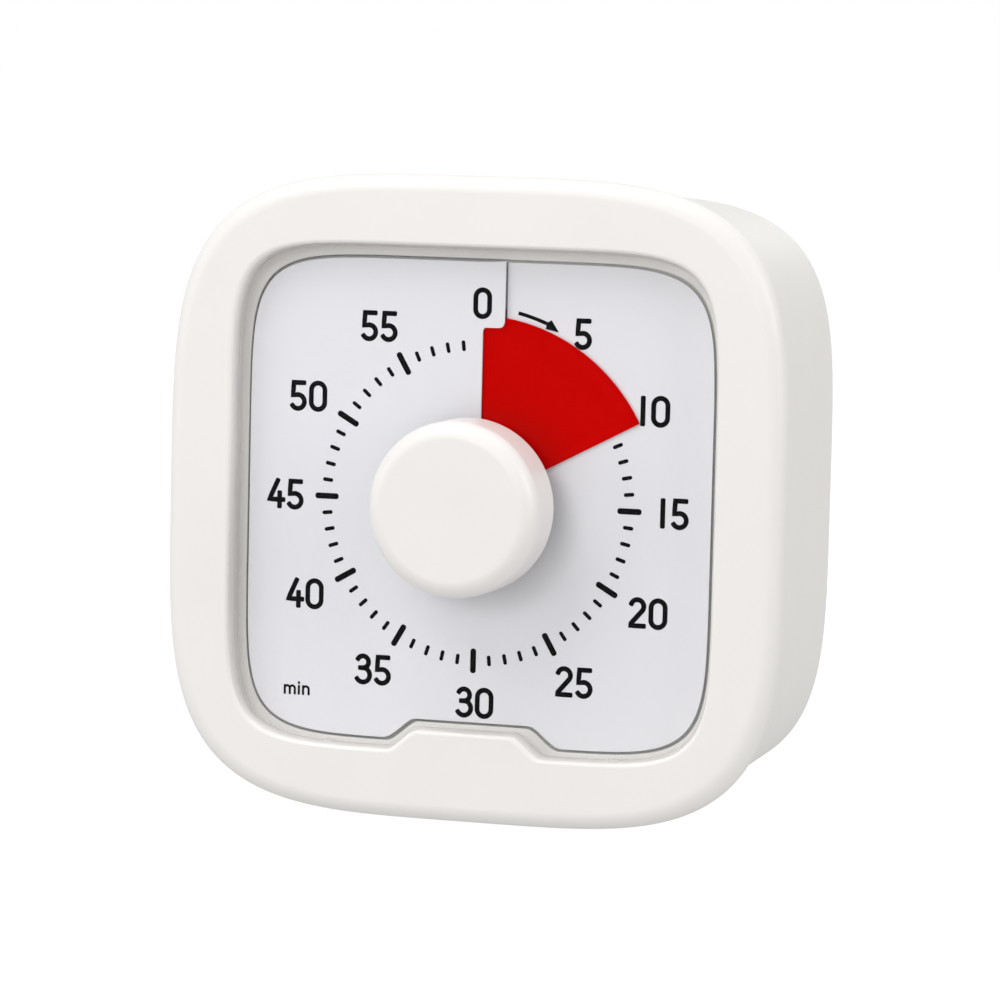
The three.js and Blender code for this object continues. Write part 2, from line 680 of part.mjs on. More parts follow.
// One involute gear. A tooth is centred on the angle `phase`; teeth are thinned for play.
function gear({ teeth, module, at, phase, y0, y1, addendum, dedendum, flank }) {
  const pitchRadius = module * teeth / 2;
  const baseRadius = pitchRadius * Math.cos(PRESSURE_ANGLE);
  const tip = pitchRadius + addendum * module;
  const root = pitchRadius - dedendum * module;
  const halfTooth = (Math.PI / 2 - TOOTH_THINNING) * module / 2 / pitchRadius;
  const involute = (radius) => {
    const t = Math.sqrt(Math.max((radius / baseRadius) ** 2 - 1, 0));
    return t - Math.atan(t);
  };
  const halfAngle = (radius) => halfTooth + involute(pitchRadius) - involute(radius);
  const low = Math.max(root, baseRadius);
  const start = low + 0.02;
  const radii = [root];
  for (let k = 1; k <= flank; k += 1) radii.push(start + (tip - start) * k / flank);
  const rising = radii.map((radius) => [radius, -halfAngle(Math.max(radius, low))]);
  const falling = rising.map(([radius, angle]) => [radius, -angle]).reverse();
  const points = [];
  for (let i = 0; i < teeth; i += 1) {
    const centre = phase + 2 * Math.PI * i / teeth;
    for (const [radius, angle] of [...rising, ...falling]) points.push([radius, centre + angle]);
  }
  const shape = new THREE.Shape(points.map(([radius, angle]) => new THREE.Vector2(
    at[0] + radius * Math.cos(angle),
    at[1] + radius * Math.sin(angle),
  )));
  return plate(shape, y0, y1);
}

// The phase that turns a gap between teeth back towards the wheel that drives it.
function gapPhase(teeth, bearing) {
  return bearing + Math.PI + Math.PI / teeth;
}

function arbor([x, z]) {
  const body = rod(ARBOR.radius, ARBOR.front, ARBOR.back, x, z, SMALL_CIRCLE);
  return body.add(rod(PIVOT_RADIUS, PLATE.front + GAP, CASE.back - GAP, x, z, SMALL_CIRCLE));
}

function driveWheel() {
  const at = SPINDLE_AT;
  const { hub, rim } = DRIVE_WHEEL;
  const teeth = gear({ teeth: 50, module: MODULE_SLOW, at, phase: SECOND_BEARING, ...WHEEL, ...rim });
  const bore = rod(SPINDLE_RADIUS + GAP, hub.y0 - 1, hub.y1 + 1, ...at);
  return cut(teeth.add(rod(hub.radius, hub.y0, hub.y1, ...at)), [bore]);
}

function secondWheel() {
  const at = SECOND_AT;
  const { pinion, wheel } = SECOND_WHEEL;
  return join([
    gear({ teeth: 10, module: MODULE_SLOW, at, phase: gapPhase(10, SECOND_BEARING), ...PINION, ...pinion }),
    gear({ teeth: 48, module: MODULE_FAST, at, phase: THIRD_BEARING, ...WHEEL, ...wheel }),
    arbor(at),
  ]);
}

function thirdWheel() {
  const at = THIRD_AT;
  const { pinion, wheel } = THIRD_WHEEL;
  return join([
    gear({ teeth: 8, module: MODULE_FAST, at, phase: gapPhase(8, THIRD_BEARING), ...PINION, ...pinion }),
    gear({ teeth: 48, module: MODULE_FAST, at, phase: ROTOR_BEARING, ...WHEEL, ...wheel }),
    arbor(at),
  ]);
}

function rotor() {
  const at = ROTOR_AT;
  const { pinion, magnet: { radius, front, back } } = ROTOR;
  return join([
    gear({ teeth: 8, module: MODULE_FAST, at, phase: gapPhase(8, ROTOR_BEARING), ...PINION, ...pinion }),
    rod(radius, front, back, ...at),
    arbor(at),
  ]);
}

function stator() {
  const { left, right, front, back, bore } = STATOR;
  const body = box(left, right, front, back, ROTOR_AT[1] - 4, LEG.high);
  return cut(body, [
    box(left + 3, right - 2, front - 1, back + 1, ROTOR_AT[1] + 3.6, LEG.low),
    rod(bore, front - 1, back + 1, ...ROTOR_AT),
  ]);
}

// A square sleeve round the stator's upper leg: `growY` and `growZ` larger than the leg outside,
// `inner` larger inside.
function sleeve(x0, x1, inner, growY, growZ) {
  const { front, back } = STATOR;
  const outer = box(x0, x1, front - growY, back + growY, LEG.low - growZ, LEG.high + growZ);
  return outer.subtract(box(x0 - 1, x1 + 1, front - inner, back + inner, LEG.low - inner, LEG.high + inner));
}

function coilBobbin() {
  const { left, right, flange } = COIL;
  return join([
    sleeve(left, right, 0.2, 0.5, 0.5),
    sleeve(left, left + flange, 0.2, 1.15, 1.9),
    sleeve(right - flange, right, 0.2, 1.15, 1.9),
  ]);
}

function coilWinding() {
  const end = COIL.flange + 0.2;
  return sleeve(COIL.left + end, COIL.right - end, 0.7, 1.1, 1.7);
}

function trainHoles(y0, y1) {
  return [SECOND_AT, THIRD_AT, ROTOR_AT].map((at) => rod(PIVOT_RADIUS + 0.25, y0, y1, ...at, SMALL_CIRCLE));
}

function movementPlate() {
  const { half, low, high } = CASE;
  const sheet = box(-half, half, PLATE.front, PLATE.back, AXIS_Z + low, AXIS_Z + high);
  const tongue = box(-3.5, 3.5, PLATE.front, PLATE.back, AXIS_Z + high - 1, EARS[2][1] - 3.2);
  return cut(sheet.add(tongue), [
    rod(SPINDLE_RADIUS + 0.6, 2, 5, ...SPINDLE_AT),
    ...trainHoles(2, 5),
  ]);
}

function movementCase() {
  const { half, low, high, front, back, wall } = CASE;
  const outer = box(-half, half, front, back, AXIS_Z + low, AXIS_Z + high);
  const [leftEar, rightEar, topEar] = EARS;
  const ears = EARS.map(([x, z]) => rod(EAR.radius, EAR.front, EAR.back, x, z));
  const webs = [
    box(leftEar[0], -half + 0.5, EAR.front, EAR.back, leftEar[1] - 3, leftEar[1] + 3),
    box(half - 0.5, rightEar[0], EAR.front, EAR.back, rightEar[1] - 3, rightEar[1] + 3),
    box(-3, 3, EAR.front, EAR.back, AXIS_Z + high - 0.5, topEar[1]),
  ];
  const room = half - wall;
  return cut(join([outer, ...ears, ...webs]), [
    box(-room, room, front - 1, back - wall, AXIS_Z + low + wall, AXIS_Z + high - wall),
    rod(SPINDLE_RADIUS + GAP, back - 3, back + 1, ...SPINDLE_AT),
    ...trainHoles(back - 3, back + 1),
    ...EARS.map(([x, z]) => rod(EAR.hole, EAR.front - 1, EAR.back + 1, x, z, SMALL_CIRCLE)),
  ]);
}

function movementScrew([x, z]) {
  return screw(x, z, EAR.back + GAP + MOVEMENT_SCREW.height, MOVEMENT_SCREW);
}

// ---------------------------------------------------------------- electrics

function circuitBoard() {
  const { front, back, half, low, high } = BOARD;
  const sheet = box(-half, half, front, back, low, high);
  return cut(sheet, BOARD_SCREWS.map(([x, z]) => rod(1.3, front - 1, back + 1, x, z, SMALL_CIRCLE)));
}

// Driven from the front, so a screw made for the back is turned half a turn about Z.
function boardScrew([x, z]) {
  const geometry = geometryOf(screw(-x, z, -BOARD.front + GAP + BOARD_SCREW.height, BOARD_SCREW));
  geometry.rotateZ(Math.PI);
  return solid(geometry);
}

function controlChip() {
  const back = BOARD.front - 0.2;
  return box(CHIP.left, CHIP.right, back - CHIP.height, back, CHIP.low, CHIP.high);
}

function quartzCrystal() {
  const geometry = new THREE.CapsuleGeometry(CRYSTAL.radius, CRYSTAL.length, 2, SMALL_CIRCLE);
  geometry.rotateZ(Math.PI / 2);
  geometry.translate(CRYSTAL.x, BOARD.front - GAP - CRYSTAL.radius, CRYSTAL.z);
  return solid(geometry);
}

function sounder() {
  const { x, z, radius, height, port, portDepth, bevel } = SOUNDER;
  const front = BOARD.back + 0.2;
  const back = front + height;
  return turned([
    [0, front],
    [radius, front],
    [radius, back - bevel],
    [radius - bevel, back],
    [port, back],
    [port, back - portDepth],
    [0, back - portDepth],
  ], x, z);
}

function volumeSwitch() {
  const { halfX, halfZ, back } = SWITCH;
  return box(SLIDER_X - halfX, SLIDER_X + halfX, BOARD.back + 0.2, back, SLIDER_Z - halfZ, SLIDER_Z + halfZ);
}

// A block about the slider's middle.
function sliderBlock(x, halfX, halfZ, y0, y1) {
  return box(SLIDER_X + x - halfX, SLIDER_X + x + halfX, y0, y1, SLIDER_Z - halfZ, SLIDER_Z + halfZ);
}

function volumeSlider() {
  const { halfX, halfZ, height, nub, nubBack, ridge } = SLIDER;
  const back = INNER_BACK - GAP;
  return join([
    sliderBlock(0, halfX, halfZ, back - height, back),
    sliderBlock(0, nub, nub, back - GAP, nubBack),
    ...SLIDER_RIDGES.map((x) => sliderBlock(x, ridge, nub, nubBack - 0.1, BACK - 0.1)),
  ]);
}

// Turns a shape made about the Y axis so that it lies along X through the cell's middle.
function layAlongX(geometry) {
  geometry.rotateZ(-Math.PI / 2);
  geometry.translate(0, CELL_Y, CELL_Z);
  return solid(geometry);
}

function aaCell() {
  const start = CELL_END - CELL_LENGTH;
  const shoulder = CELL_END - CELL_BUTTON.height;
  const profile = [
    [0, start],
    [CELL_RADIUS - 0.5, start],
    [CELL_RADIUS, start + 0.5],
    [CELL_RADIUS, shoulder - 0.6],
    [CELL_RADIUS - 0.6, shoulder],
    [CELL_BUTTON.radius, shoulder],
    [CELL_BUTTON.radius, CELL_END],
    [0, CELL_END],
  ].map(([radius, y]) => new THREE.Vector2(radius, y));
  return layAlongX(new THREE.LatheGeometry(profile, 20));
}

class ConicalCoil extends THREE.Curve {
  getPoint(t, target = new THREE.Vector3()) {
    const angle = 2 * Math.PI * SPRING.turns * t;
    const radius = THREE.MathUtils.lerp(SPRING.wide, SPRING.narrow, t);
    const start = -BAY.half + SPRING.inset;
    const end = CELL_END - CELL_LENGTH - SPRING.inset;
    const x = THREE.MathUtils.lerp(start, end, t);
    return target.set(x, CELL_Y + radius * Math.cos(angle), CELL_Z + radius * Math.sin(angle));
  }
}

function batterySpring() {
  const wire = new THREE.Shape();
  wire.absarc(0, 0, SPRING.wire, 0, 2 * Math.PI, false);
  return solid(new THREE.ExtrudeGeometry(wire, {
    steps: 40,
    curveSegments: 3,
    bevelEnabled: false,
    extrudePath: new ConicalCoil(),
  }));
}

function contactPlate() {
  const { inset, sheet, halfY, halfZ } = CONTACT;
  const x = BAY.half - inset;
  return box(x, x + sheet, CELL_Y - halfY, CELL_Y + halfY, CELL_Z - halfZ, CELL_Z + halfZ);
}

// ---------------------------------------------------------------- materials and assembly

const FINISHES = {
  shell: { color: 0xf1eee8, roughness: 0.32, metalness: 0 },
  clear: { color: 0xf4f8fa, roughness: 0.05, metalness: 0, transparent: true, opacity: 0.25 },
  dial: { color: 0xe2e2e8, roughness: 0.6, metalness: 0 },
  red: { color: 0xd00505, roughness: 0.5, metalness: 0 },
  inner: { color: 0xd9d9d6, roughness: 0.6, metalness: 0 },
  gear: { color: 0xe9e4d4, roughness: 0.5, metalness: 0 },
  steel: { color: 0xb8bbc0, roughness: 0.35, metalness: 1 },
  copper: { color: 0xb56a3a, roughness: 0.4, metalness: 1 },
  board: { color: 0x2c6b45, roughness: 0.55, metalness: 0 },
  black: { color: 0x1c1c1e, roughness: 0.55, metalness: 0 },
  rubber: { color: 0x8f8f92, roughness: 0.9, metalness: 0 },
  cell: { color: 0x3b5f8a, roughness: 0.4, metalness: 0.2 },
};

const SHAPES = [
  ['front_bezel', frontBezel(), 'shell'],
  ['lens', lens(), 'clear'],
  ['dial_plate', dialPlate(), 'dial'],
  ['dial_carrier', dialCarrier(), 'inner'],
  ['red_disc', redDisc(), 'red'],
  ['knob', knob(), 'shell'],
  ['spindle', spindle(), 'steel'],
  ['clutch_spring', clutchSpring(), 'steel'],
  ['spindle_clip', spindleClip(), 'steel'],
  ['movement_plate', movementPlate(), 'inner'],
  ['movement_case', movementCase(), 'inner'],
  ['drive_wheel', driveWheel(), 'gear'],
  ['second_wheel', secondWheel(), 'gear'],
  ['third_wheel', thirdWheel(), 'gear'],
  ['rotor', rotor(), 'black'],
  ['stator', stator(), 'steel'],
  ['coil_bobbin', coilBobbin(), 'black'],
  ['coil_winding', coilWinding(), 'copper'],
  ['circuit_board', circuitBoard(), 'board'],
  ['control_chip', controlChip(), 'black'],
  ['quartz_crystal', quartzCrystal(), 'steel'],
  ['sounder', sounder(), 'black'],
  ['volume_switch', volumeSwitch(), 'steel'],
  ['volume_slider', volumeSlider(), 'black'],
  ['rear_housing', rearHousing(), 'shell'],
  ['battery_door', batteryDoor(), 'shell'],
  ['aa_cell', aaCell(), 'cell'],
  ['battery_spring', batterySpring(), 'steel'],
  ['contact_plate', contactPlate(), 'steel'],
  ...corners(SCREW_X, SCREW_Z).map((at, i) => [`housing_screw_${i + 1}`, housingScrew(at), 'steel']),
  ...EARS.map((at, i) => [`movement_screw_${i + 1}`, movementScrew(at), 'steel']),
  ...BOARD_SCREWS.map((at, i) => [`board_screw_${i + 1}`, boardScrew(at), 'steel']),
  ...MAGNETS.map((at, i) => [`magnet_${i + 1}`, magnet(at), 'steel']),
  ...FEET.map((at, i) => [`rear_foot_${i + 1}`, rearFoot(at), 'rubber']),
];

const timer = new THREE.Group();
timer.position.set(0, -(KNOB_FRONT + BACK) / 2, BODY_HALF_HEIGHT);

for (const [name, body, finish] of SHAPES) {
  const mesh = new THREE.Mesh(geometryOf(body), new THREE.MeshStandardMaterial(FINISHES[finish]));
  mesh.name = name;
  timer.add(mesh);
}

export default timer;
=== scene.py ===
"""A sixty-minute visual countdown timer: fine surfaces, dial printing, materials and a plain studio.

Shapes are worked out in millimetres in the design frame of the CAD model, whose origin is the middle
of the body's outline on the plane of the dial and whose -Y axis points at the reader. place() turns
a design point into the shared frame, in metres.
"""

import json
import math

import bmesh
import bpy
from mathutils import Matrix, Vector

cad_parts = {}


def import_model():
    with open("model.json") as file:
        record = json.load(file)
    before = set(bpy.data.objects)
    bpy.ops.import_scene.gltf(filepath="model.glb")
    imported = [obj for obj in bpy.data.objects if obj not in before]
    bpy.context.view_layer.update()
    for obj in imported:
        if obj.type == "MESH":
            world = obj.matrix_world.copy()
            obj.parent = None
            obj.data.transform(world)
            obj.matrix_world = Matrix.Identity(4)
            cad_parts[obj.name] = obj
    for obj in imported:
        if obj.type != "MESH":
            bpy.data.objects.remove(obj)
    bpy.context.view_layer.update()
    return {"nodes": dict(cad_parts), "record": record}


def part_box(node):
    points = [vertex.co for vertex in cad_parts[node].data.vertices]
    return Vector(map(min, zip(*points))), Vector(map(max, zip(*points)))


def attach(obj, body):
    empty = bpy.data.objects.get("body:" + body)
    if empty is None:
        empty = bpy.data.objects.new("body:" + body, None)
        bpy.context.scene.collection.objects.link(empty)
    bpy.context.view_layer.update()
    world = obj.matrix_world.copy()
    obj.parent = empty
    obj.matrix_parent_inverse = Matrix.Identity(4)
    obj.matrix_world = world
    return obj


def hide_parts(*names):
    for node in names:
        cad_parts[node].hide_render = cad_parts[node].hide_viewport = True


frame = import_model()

# ------------------------------------------------------------------ dimensions, mm
#
# Most are the CAD model's. The ledge is 0.2 mm narrower on each side and 1.45 mm further back, and the
# dial sheet ends 1.35 mm sooner, so that a thin dark line shows round the dial. The bores of the screw
# posts are 1 mm shallower. The body's outline, the red disc, the knob's front and the door's grip
# differ by a tenth of a millimetre or less.

BODY_HALF_WIDTH = 42.68
BODY_HALF_HEIGHT = 42.88
BODY_POWER = 4
BEZEL_FRONT = -4.4
BEZEL_EDGE_RADIUS = 2.28
BEZEL_EDGE_SWEEP = 70.2        # degrees of arc behind the bezel's outermost line
BEZEL_FILLET = 0.5
SKIRT = {"outer": 38.5, "inner": 37.2, "front": -3.0, "back": 3.5, "round": 0.3}
CHANNEL_HALF = 35.4
CHANNEL_POWER = 5
WINDOW_HALF = 33.6
WINDOW_POWER = 7
LEDGE_HALF = 32.4
LEDGE_FRONT = -0.3
LEDGE_BACK = 0.35
LEDGE_BREAK = 0.15
LEDGE_ROUND = 0.2
TAB_HEIGHT = 2.8
TAB_HALF_TOP = 7.2
TAB_FLANK = 3.6
LENS_FRONT = -3.1
LENS_BACK = -2.05
LENS_BEVEL = 0.5
LENS_BREAK = 0.15
LENS_HOLE = 6.0

REAR_HALF = 40.9
REAR_HALF_BACK = 40.3
REAR_POWER = 4.4
REAR_FRONT = 0.35
REAR_STRAIGHT = 3.0            # depth at which the rear shell begins to draw in
REAR_TAPER = (0.1, 10.0)       # how far it has drawn in, and at what depth
REAR_RIM = 0.3
BACK = 33.9
BACK_EDGE_RADIUS = 2.2
WALL = 1.9
BACK_WALL = 2.3

AXIS_Z = -0.5
KNOB_RADIUS = 11.65
KNOB_FRONT = -12.199
KNOB_BACK = -3.4
KNOB_EDGE = 2.35
KNOB_INNER = 9.6
KNOB_WEB = -10.2
KNOB_HUB = {"radius": 5.3, "back": -2.3}
KNOB_STEM = {"radius": 2.9, "back": 2.0}
KNOB_BORE = {"radius": 2.05, "front": -9.3}

DIAL_HALF = 32.05
DIAL_HOLE = 6.0
DIAL_MIDDLE = 14.0
DIAL_SHEET = 0.25
DISC_SHEET = 0.15
DISC_RADIUS = 24.97
DISC_RINGS = (4.4, 12.0, 20.0, DISC_RADIUS)
DISC_HUB = {"inner": 3.2, "outer": 5.4, "front": -0.9, "back": 1.6}
PITCH = 0.7
SET_ANGLE = math.radians(62.3)
SLIT_EDGE = 0.4
SLIT_JOG_RADIUS = 23.4
SLIT_JOG = 3.4
SLIT_GAP = 0.12
SLIT_CORNER = 0.8
SLIT_FILLET = 0.45
SLIT_WIDTH = 0.4               # reach of the slit's cutter under the tab
SLIT_DEPTH = 0.3               # and to either side of the dial's plane
MARK_RADIUS = 21.0

SCREW_X = 20.0
SCREW_Z = 35.5
POST_RADIUS = 2.3
POST_FRONT = -1.6
POST_END = 12.0
POST_BORE = {"radius": 1.4, "front": 3.0}
TUBE_RADIUS = 3.2
GAP = 0.3
BAY = {"half": 28.5, "low": -25.2, "high": -8.8, "floor": 16.3}
BAY_WALL = 1.5
DOOR_MARGIN = 1.0
DOOR_PIN = {"radius": 0.55, "reach": 0.9}
TONGUE = {"half": 4, "low": -10.7, "high": -9.3, "reach": 1.6}
GRIP = {"half": 5, "low": 3.3, "high": 1.3, "depth": 0.7}      # low and high are below the door's top edge
CELL_RADIUS = 7.1
CELL_Y = 24.2
CELL_Z = (BAY["low"] + BAY["high"]) / 2
CELL_END = BAY["half"] - 1.0
CELL_LENGTH = 50.5
CELL_BUTTON = {"radius": 2.7, "height": 1.3}
CELL_SHOULDER = 2.0            # faces with their middle this near the button's tip are copper-coloured
CELL_FLAT_END = {"radius": 4.2, "inset": 0.15, "rim": 4.5}
SLIDER_X = -19.0
SLIDER_Z = 21.0
SLIDER_BASE = (3.8, 2.8)
SLIDER_NUB = 1.6
SLIDER_RIDGES = (-1.1, -0.35, 0.35, 1.1)
SLOT = (4.2, 2.0)
SOUNDER = {"x": 18.0, "z": 20.0, "radius": 8.5, "hole": 0.9, "ring": 3.6}
BOARD_BACK = 25.0
MAGNETS = [(-28.0, 2.0), (28.0, 2.0)]
MAGNET_RADIUS = 5.0
BOSS_WALL = 1.6
FEET = [(-17.0, 27.0), (17.0, 27.0)]
FOOT_RADIUS = 4.0
FOOT_HEIGHT = 1.4
FOOT_ROUND = 0.5

OUTLINE = 360          # rays of the shells' outlines
CIRCLE = 96            # sides of round pieces
ON_AXIS = 1e-6         # radius of a ring that stands for a point on its axis

bezel_low, bezel_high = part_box("front_bezel")
SHIFT = Vector((
    (bezel_low.x + bezel_high.x) / 2,
    bezel_low.y - BEZEL_FRONT / 1000,
    (bezel_low.z + bezel_high.z) / 2,
))


def place(x, y, z):
    """A design point in the shared frame, in metres."""
    return Vector((x, y, z)) / 1000 + SHIFT


DIAL_CENTRE = place(0, 0, AXIS_Z)


# ------------------------------------------------------------------ mesh building

def build(name, vertices, faces):
    """A mesh object from design points, with doubles merged and faces turned outwards."""
    mesh = bpy.data.meshes.new(name)
    mesh.from_pydata([place(*v) for v in vertices], [], faces)
    bm = bmesh.new()
    bm.from_mesh(mesh)
    bmesh.ops.remove_doubles(bm, verts=bm.verts, dist=1e-7)
    bmesh.ops.recalc_face_normals(bm, faces=bm.faces)
    bm.to_mesh(mesh)
    bm.free()
    made = bpy.data.objects.new(name, mesh)
    bpy.context.scene.collection.objects.link(made)
    return made


def skin(rings, closed=False):
    """Vertices and faces that join rings of equal length, with flat caps unless the skin closes."""
    count = len(rings[0])
    vertices = [point for ring in rings for point in ring]
    faces = []
    for row in range(len(rings) if closed else len(rings) - 1):
        following = (row + 1) % len(rings)
        for i in range(count):
            j = (i + 1) % count
            faces.append((row * count + i, row * count + j,
                          following * count + j, following * count + i))
    if not closed:
        faces.append(tuple(range(count))[::-1])
        faces.append(tuple((len(rings) - 1) * count + i for i in range(count)))
    return vertices, faces


def loft(name, rings, closed=False):
    return build(name, *skin(rings, closed))


def arc(cx, cy, radius, start, end, steps):
    """Points on an arc, by angles in degrees."""
    angles = [math.radians(start + (end - start) * i / steps) for i in range(steps + 1)]
    return [(cx + radius * math.cos(a), cy + radius * math.sin(a)) for a in angles]


def around(sides):
    """Cosines and sines of evenly spaced angles."""
    angles = [2 * math.pi * i / sides for i in range(sides)]
    return [(math.cos(a), math.sin(a)) for a in angles]


def smoothstep(value):
    value = min(max(value, 0.0), 1.0)
    return value * value * (3 - 2 * value)


def tab_lift(x, out):
    """How far the bezel's tab lifts the window's lower edge, for an outline out mm outside the window."""
    return TAB_HEIGHT * smoothstep((TAB_HALF_TOP + TAB_FLANK - out - abs(x)) / TAB_FLANK)


def shell_ring(half, y, power, tall=0.0, tab=None, middle=0.0):
    """A superellipse met by evenly spaced rays, at depth y and with its centre at height middle."""
    ring = []
    for i in range(OUTLINE):
        angle = 2 * math.pi * i / OUTLINE
        c, s = math.cos(angle), math.sin(angle)
        radius = ((abs(c) / half) ** power + (abs(s) / (half + tall)) ** power) ** (-1 / power)
        if tab is not None and s < 0:
            radius -= tab_lift(radius * c, tab) / max(-s, 0.5)
        ring.append((radius * c, y, middle + radius * s))
    return ring


def circle_ring(x, z, radius, y, sides=CIRCLE):
    return [(x + radius * c, y, z + radius * s) for c, s in around(sides)]


def rounded_ring(x0, x1, z0, z1, corner, y, steps=8):
    """A rounded rectangle at depth y."""
    corners = [(x1 - corner, z1 - corner, 0), (x0 + corner, z1 - corner, 90),
               (x0 + corner, z0 + corner, 180), (x1 - corner, z0 + corner, 270)]
    ring = []
    for cx, cz, start in corners:
        ring += [(x, y, z) for x, z in arc(cx, cz, corner, start, start + 90, steps)]
    return ring


def turned(name, profile, x=0.0, z=0.0, sides=CIRCLE):
    """A turned solid from [radius, y] pairs that start and end on the axis, or close on themselves."""
    closed = profile[0] == profile[-1] and profile[0][0] > 0
    points = profile[:-1] if closed else profile
    rings = [circle_ring(x, z, max(radius, ON_AXIS), y, sides) for radius, y in points]
    return loft(name, rings, closed)


def with_rounds(profile, radius, steps=4):
    """The profile with every corner away from the axis rounded."""
    out = [profile[0]]
    for before, corner, after in zip(profile, profile[1:], profile[2:]):
        a = Vector(before) - Vector(corner)
        b = Vector(after) - Vector(corner)
        reach = min(radius, a.length * 0.45, b.length * 0.45)
        start = Vector(corner) + a.normalized() * reach
        end = Vector(corner) + b.normalized() * reach
        for i in range(steps + 1):
            t = i / steps
            point = start * (1 - t) ** 2 + Vector(corner) * 2 * t * (1 - t) + end * t ** 2
            out.append((point.x, point.y))
    out.append(profile[-1])
    return out


def combine(target, tool, operation):
    """Joins the tool to the target or cuts it away, and removes the tool."""
    modifier = target.modifiers.new("combine", "BOOLEAN")
    modifier.operation = operation
    modifier.solver = "EXACT"
    modifier.object = tool
    graph = bpy.context.evaluated_depsgraph_get()
    result = bpy.data.meshes.new_from_object(target.evaluated_get(graph))
    target.modifiers.clear()
    target.data = result
    bpy.data.objects.remove(tool)
    return target


def combine_all(target, tools, operation):
    for tool in tools:
        combine(target, tool, operation)
    return target


def finish_piece(piece, body, slot, *materials, replaces=(), angle=32.0):
    """Smooth shading with sharp edges kept, and the piece's body, materials and CAD nodes; slot is not used.
    """
    piece.data.materials.clear()
    for material in materials:
        piece.data.materials.append(material)
    piece.data.shade_smooth()
    piece.data.set_sharp_from_angle(angle=math.radians(angle))
    normals = piece.modifiers.new("normals", "WEIGHTED_NORMAL")
    normals.keep_sharp = True
    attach(piece, body)
    if replaces:
        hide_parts(*replaces)
    return piece


def soften(piece, width, segments=3):
    """A small round along the sharp edges."""
    bevel = piece.modifiers.new("round", "BEVEL")
    bevel.width = width / 1000
    bevel.segments = segments
    bevel.limit_method = "ANGLE"
    bevel.angle_limit = math.radians(35)
    bevel.harden_normals = False
    return piece


# ------------------------------------------------------------------ materials

def node(tree, kind, **values):
    made = tree.nodes.new(kind)
    for key, value in values.items():
        setattr(made, key, value)
    return made


def noise(tree, scale, detail=3.0):
    """A noise value in object space; the scale is in cells per metre."""
    where = node(tree, "ShaderNodeTexCoord")
    texture = node(tree, "ShaderNodeTexNoise")
    texture.inputs["Scale"].default_value = scale
    texture.inputs["Detail"].default_value = detail
    tree.links.new(where.outputs["Object"], texture.inputs["Vector"])
    return texture.outputs["Fac"]


def ramp(tree, value, low, high, start=0.3, end=0.7):
    """Maps a value to a range of numbers; the defaults suit noise, which keeps to the middle."""
    mapped = node(tree, "ShaderNodeMapRange")
    mapped.inputs["From Min"].default_value = start
    mapped.inputs["From Max"].default_value = end
    mapped.inputs["To Min"].default_value = low
    mapped.inputs["To Max"].default_value = high
    tree.links.new(value, mapped.inputs["Value"])
    return mapped.outputs["Result"]


def shades(tree, value, dark, light, start=0.3, end=0.7):
    """Maps a noise value to colours between two shades."""
    mixed = node(tree, "ShaderNodeValToRGB")
    mixed.color_ramp.elements[0].position = start
    mixed.color_ramp.elements[0].color = (*dark, 1)
    mixed.color_ramp.elements[1].position = end
    mixed.color_ramp.elements[1].color = (*light, 1)
    tree.links.new(value, mixed.inputs["Fac"])
    return mixed.outputs["Color"]


def blank(name):
    material = bpy.data.materials.new(name)
    material.use_nodes = True
    material.node_tree.nodes.clear()
    shader = node(material.node_tree, "ShaderNodeBsdfPrincipled")
    output = node(material.node_tree, "ShaderNodeOutputMaterial")
    material.node_tree.links.new(shader.outputs["BSDF"], output.inputs["Surface"])
    return material, material.node_tree, shader


def surface(name, colour, *, spread=0.03, patch=60, rough=(0.35, 0.42), grain=5000, depth=0.02,
            metallic=0.0, coat=0.0, specular=0.5):
    """A moulded, plated or printed surface: its colour drifts a little from patch to patch, and its
    roughness and a fine grain in the bump vary too. depth is the grain's height in mm."""
    material, tree, shader = blank(name)
    dark = [c * (1 - spread) for c in colour]
    light = [min(c * (1 + spread * 0.5), 1.0) for c in colour]
    tree.links.new(shades(tree, noise(tree, patch), dark, light), shader.inputs["Base Color"])
    tree.links.new(ramp(tree, noise(tree, patch * 4), *rough), shader.inputs["Roughness"])
    bump = node(tree, "ShaderNodeBump")
    bump.inputs["Strength"].default_value = 0.35
    bump.inputs["Distance"].default_value = depth / 1000
    tree.links.new(noise(tree, grain, 2.0), bump.inputs["Height"])
    tree.links.new(bump.outputs["Normal"], shader.inputs["Normal"])
    shader.inputs["Metallic"].default_value = metallic
    shader.inputs["Coat Weight"].default_value = coat
    shader.inputs["Specular IOR Level"].default_value = specular
    return material


def clear_sheet(name):
    """Polished clear acrylic: transparent, with a faint reflection that grows at grazing angles."""
    material = bpy.data.materials.new(name)
    material.use_nodes = True
    tree = material.node_tree
    tree.nodes.clear()
    through = node(tree, "ShaderNodeBsdfTransparent")
    through.inputs["Color"].default_value = (0.997, 0.999, 0.999, 1)
    gloss = node(tree, "ShaderNodeBsdfGlossy")
    tree.links.new(ramp(tree, noise(tree, 40), 0.02, 0.05), gloss.inputs["Roughness"])
    slant = node(tree, "ShaderNodeLayerWeight")
    slant.inputs["Blend"].default_value = 0.5
    steep = node(tree, "ShaderNodeMath", operation="POWER")
    tree.links.new(slant.outputs["Facing"], steep.inputs[0])
    steep.inputs[1].default_value = 3.0
    mixed = node(tree, "ShaderNodeMixShader")
    tree.links.new(ramp(tree, steep.outputs["Value"], 0.003, 1.0, 0.0, 1.0), mixed.inputs["Fac"])
    tree.links.new(through.outputs["BSDF"], mixed.inputs[1])
    tree.links.new(gloss.outputs["BSDF"], mixed.inputs[2])
    output = node(tree, "ShaderNodeOutputMaterial")
    tree.links.new(mixed.outputs["Shader"], output.inputs["Surface"])
    return material


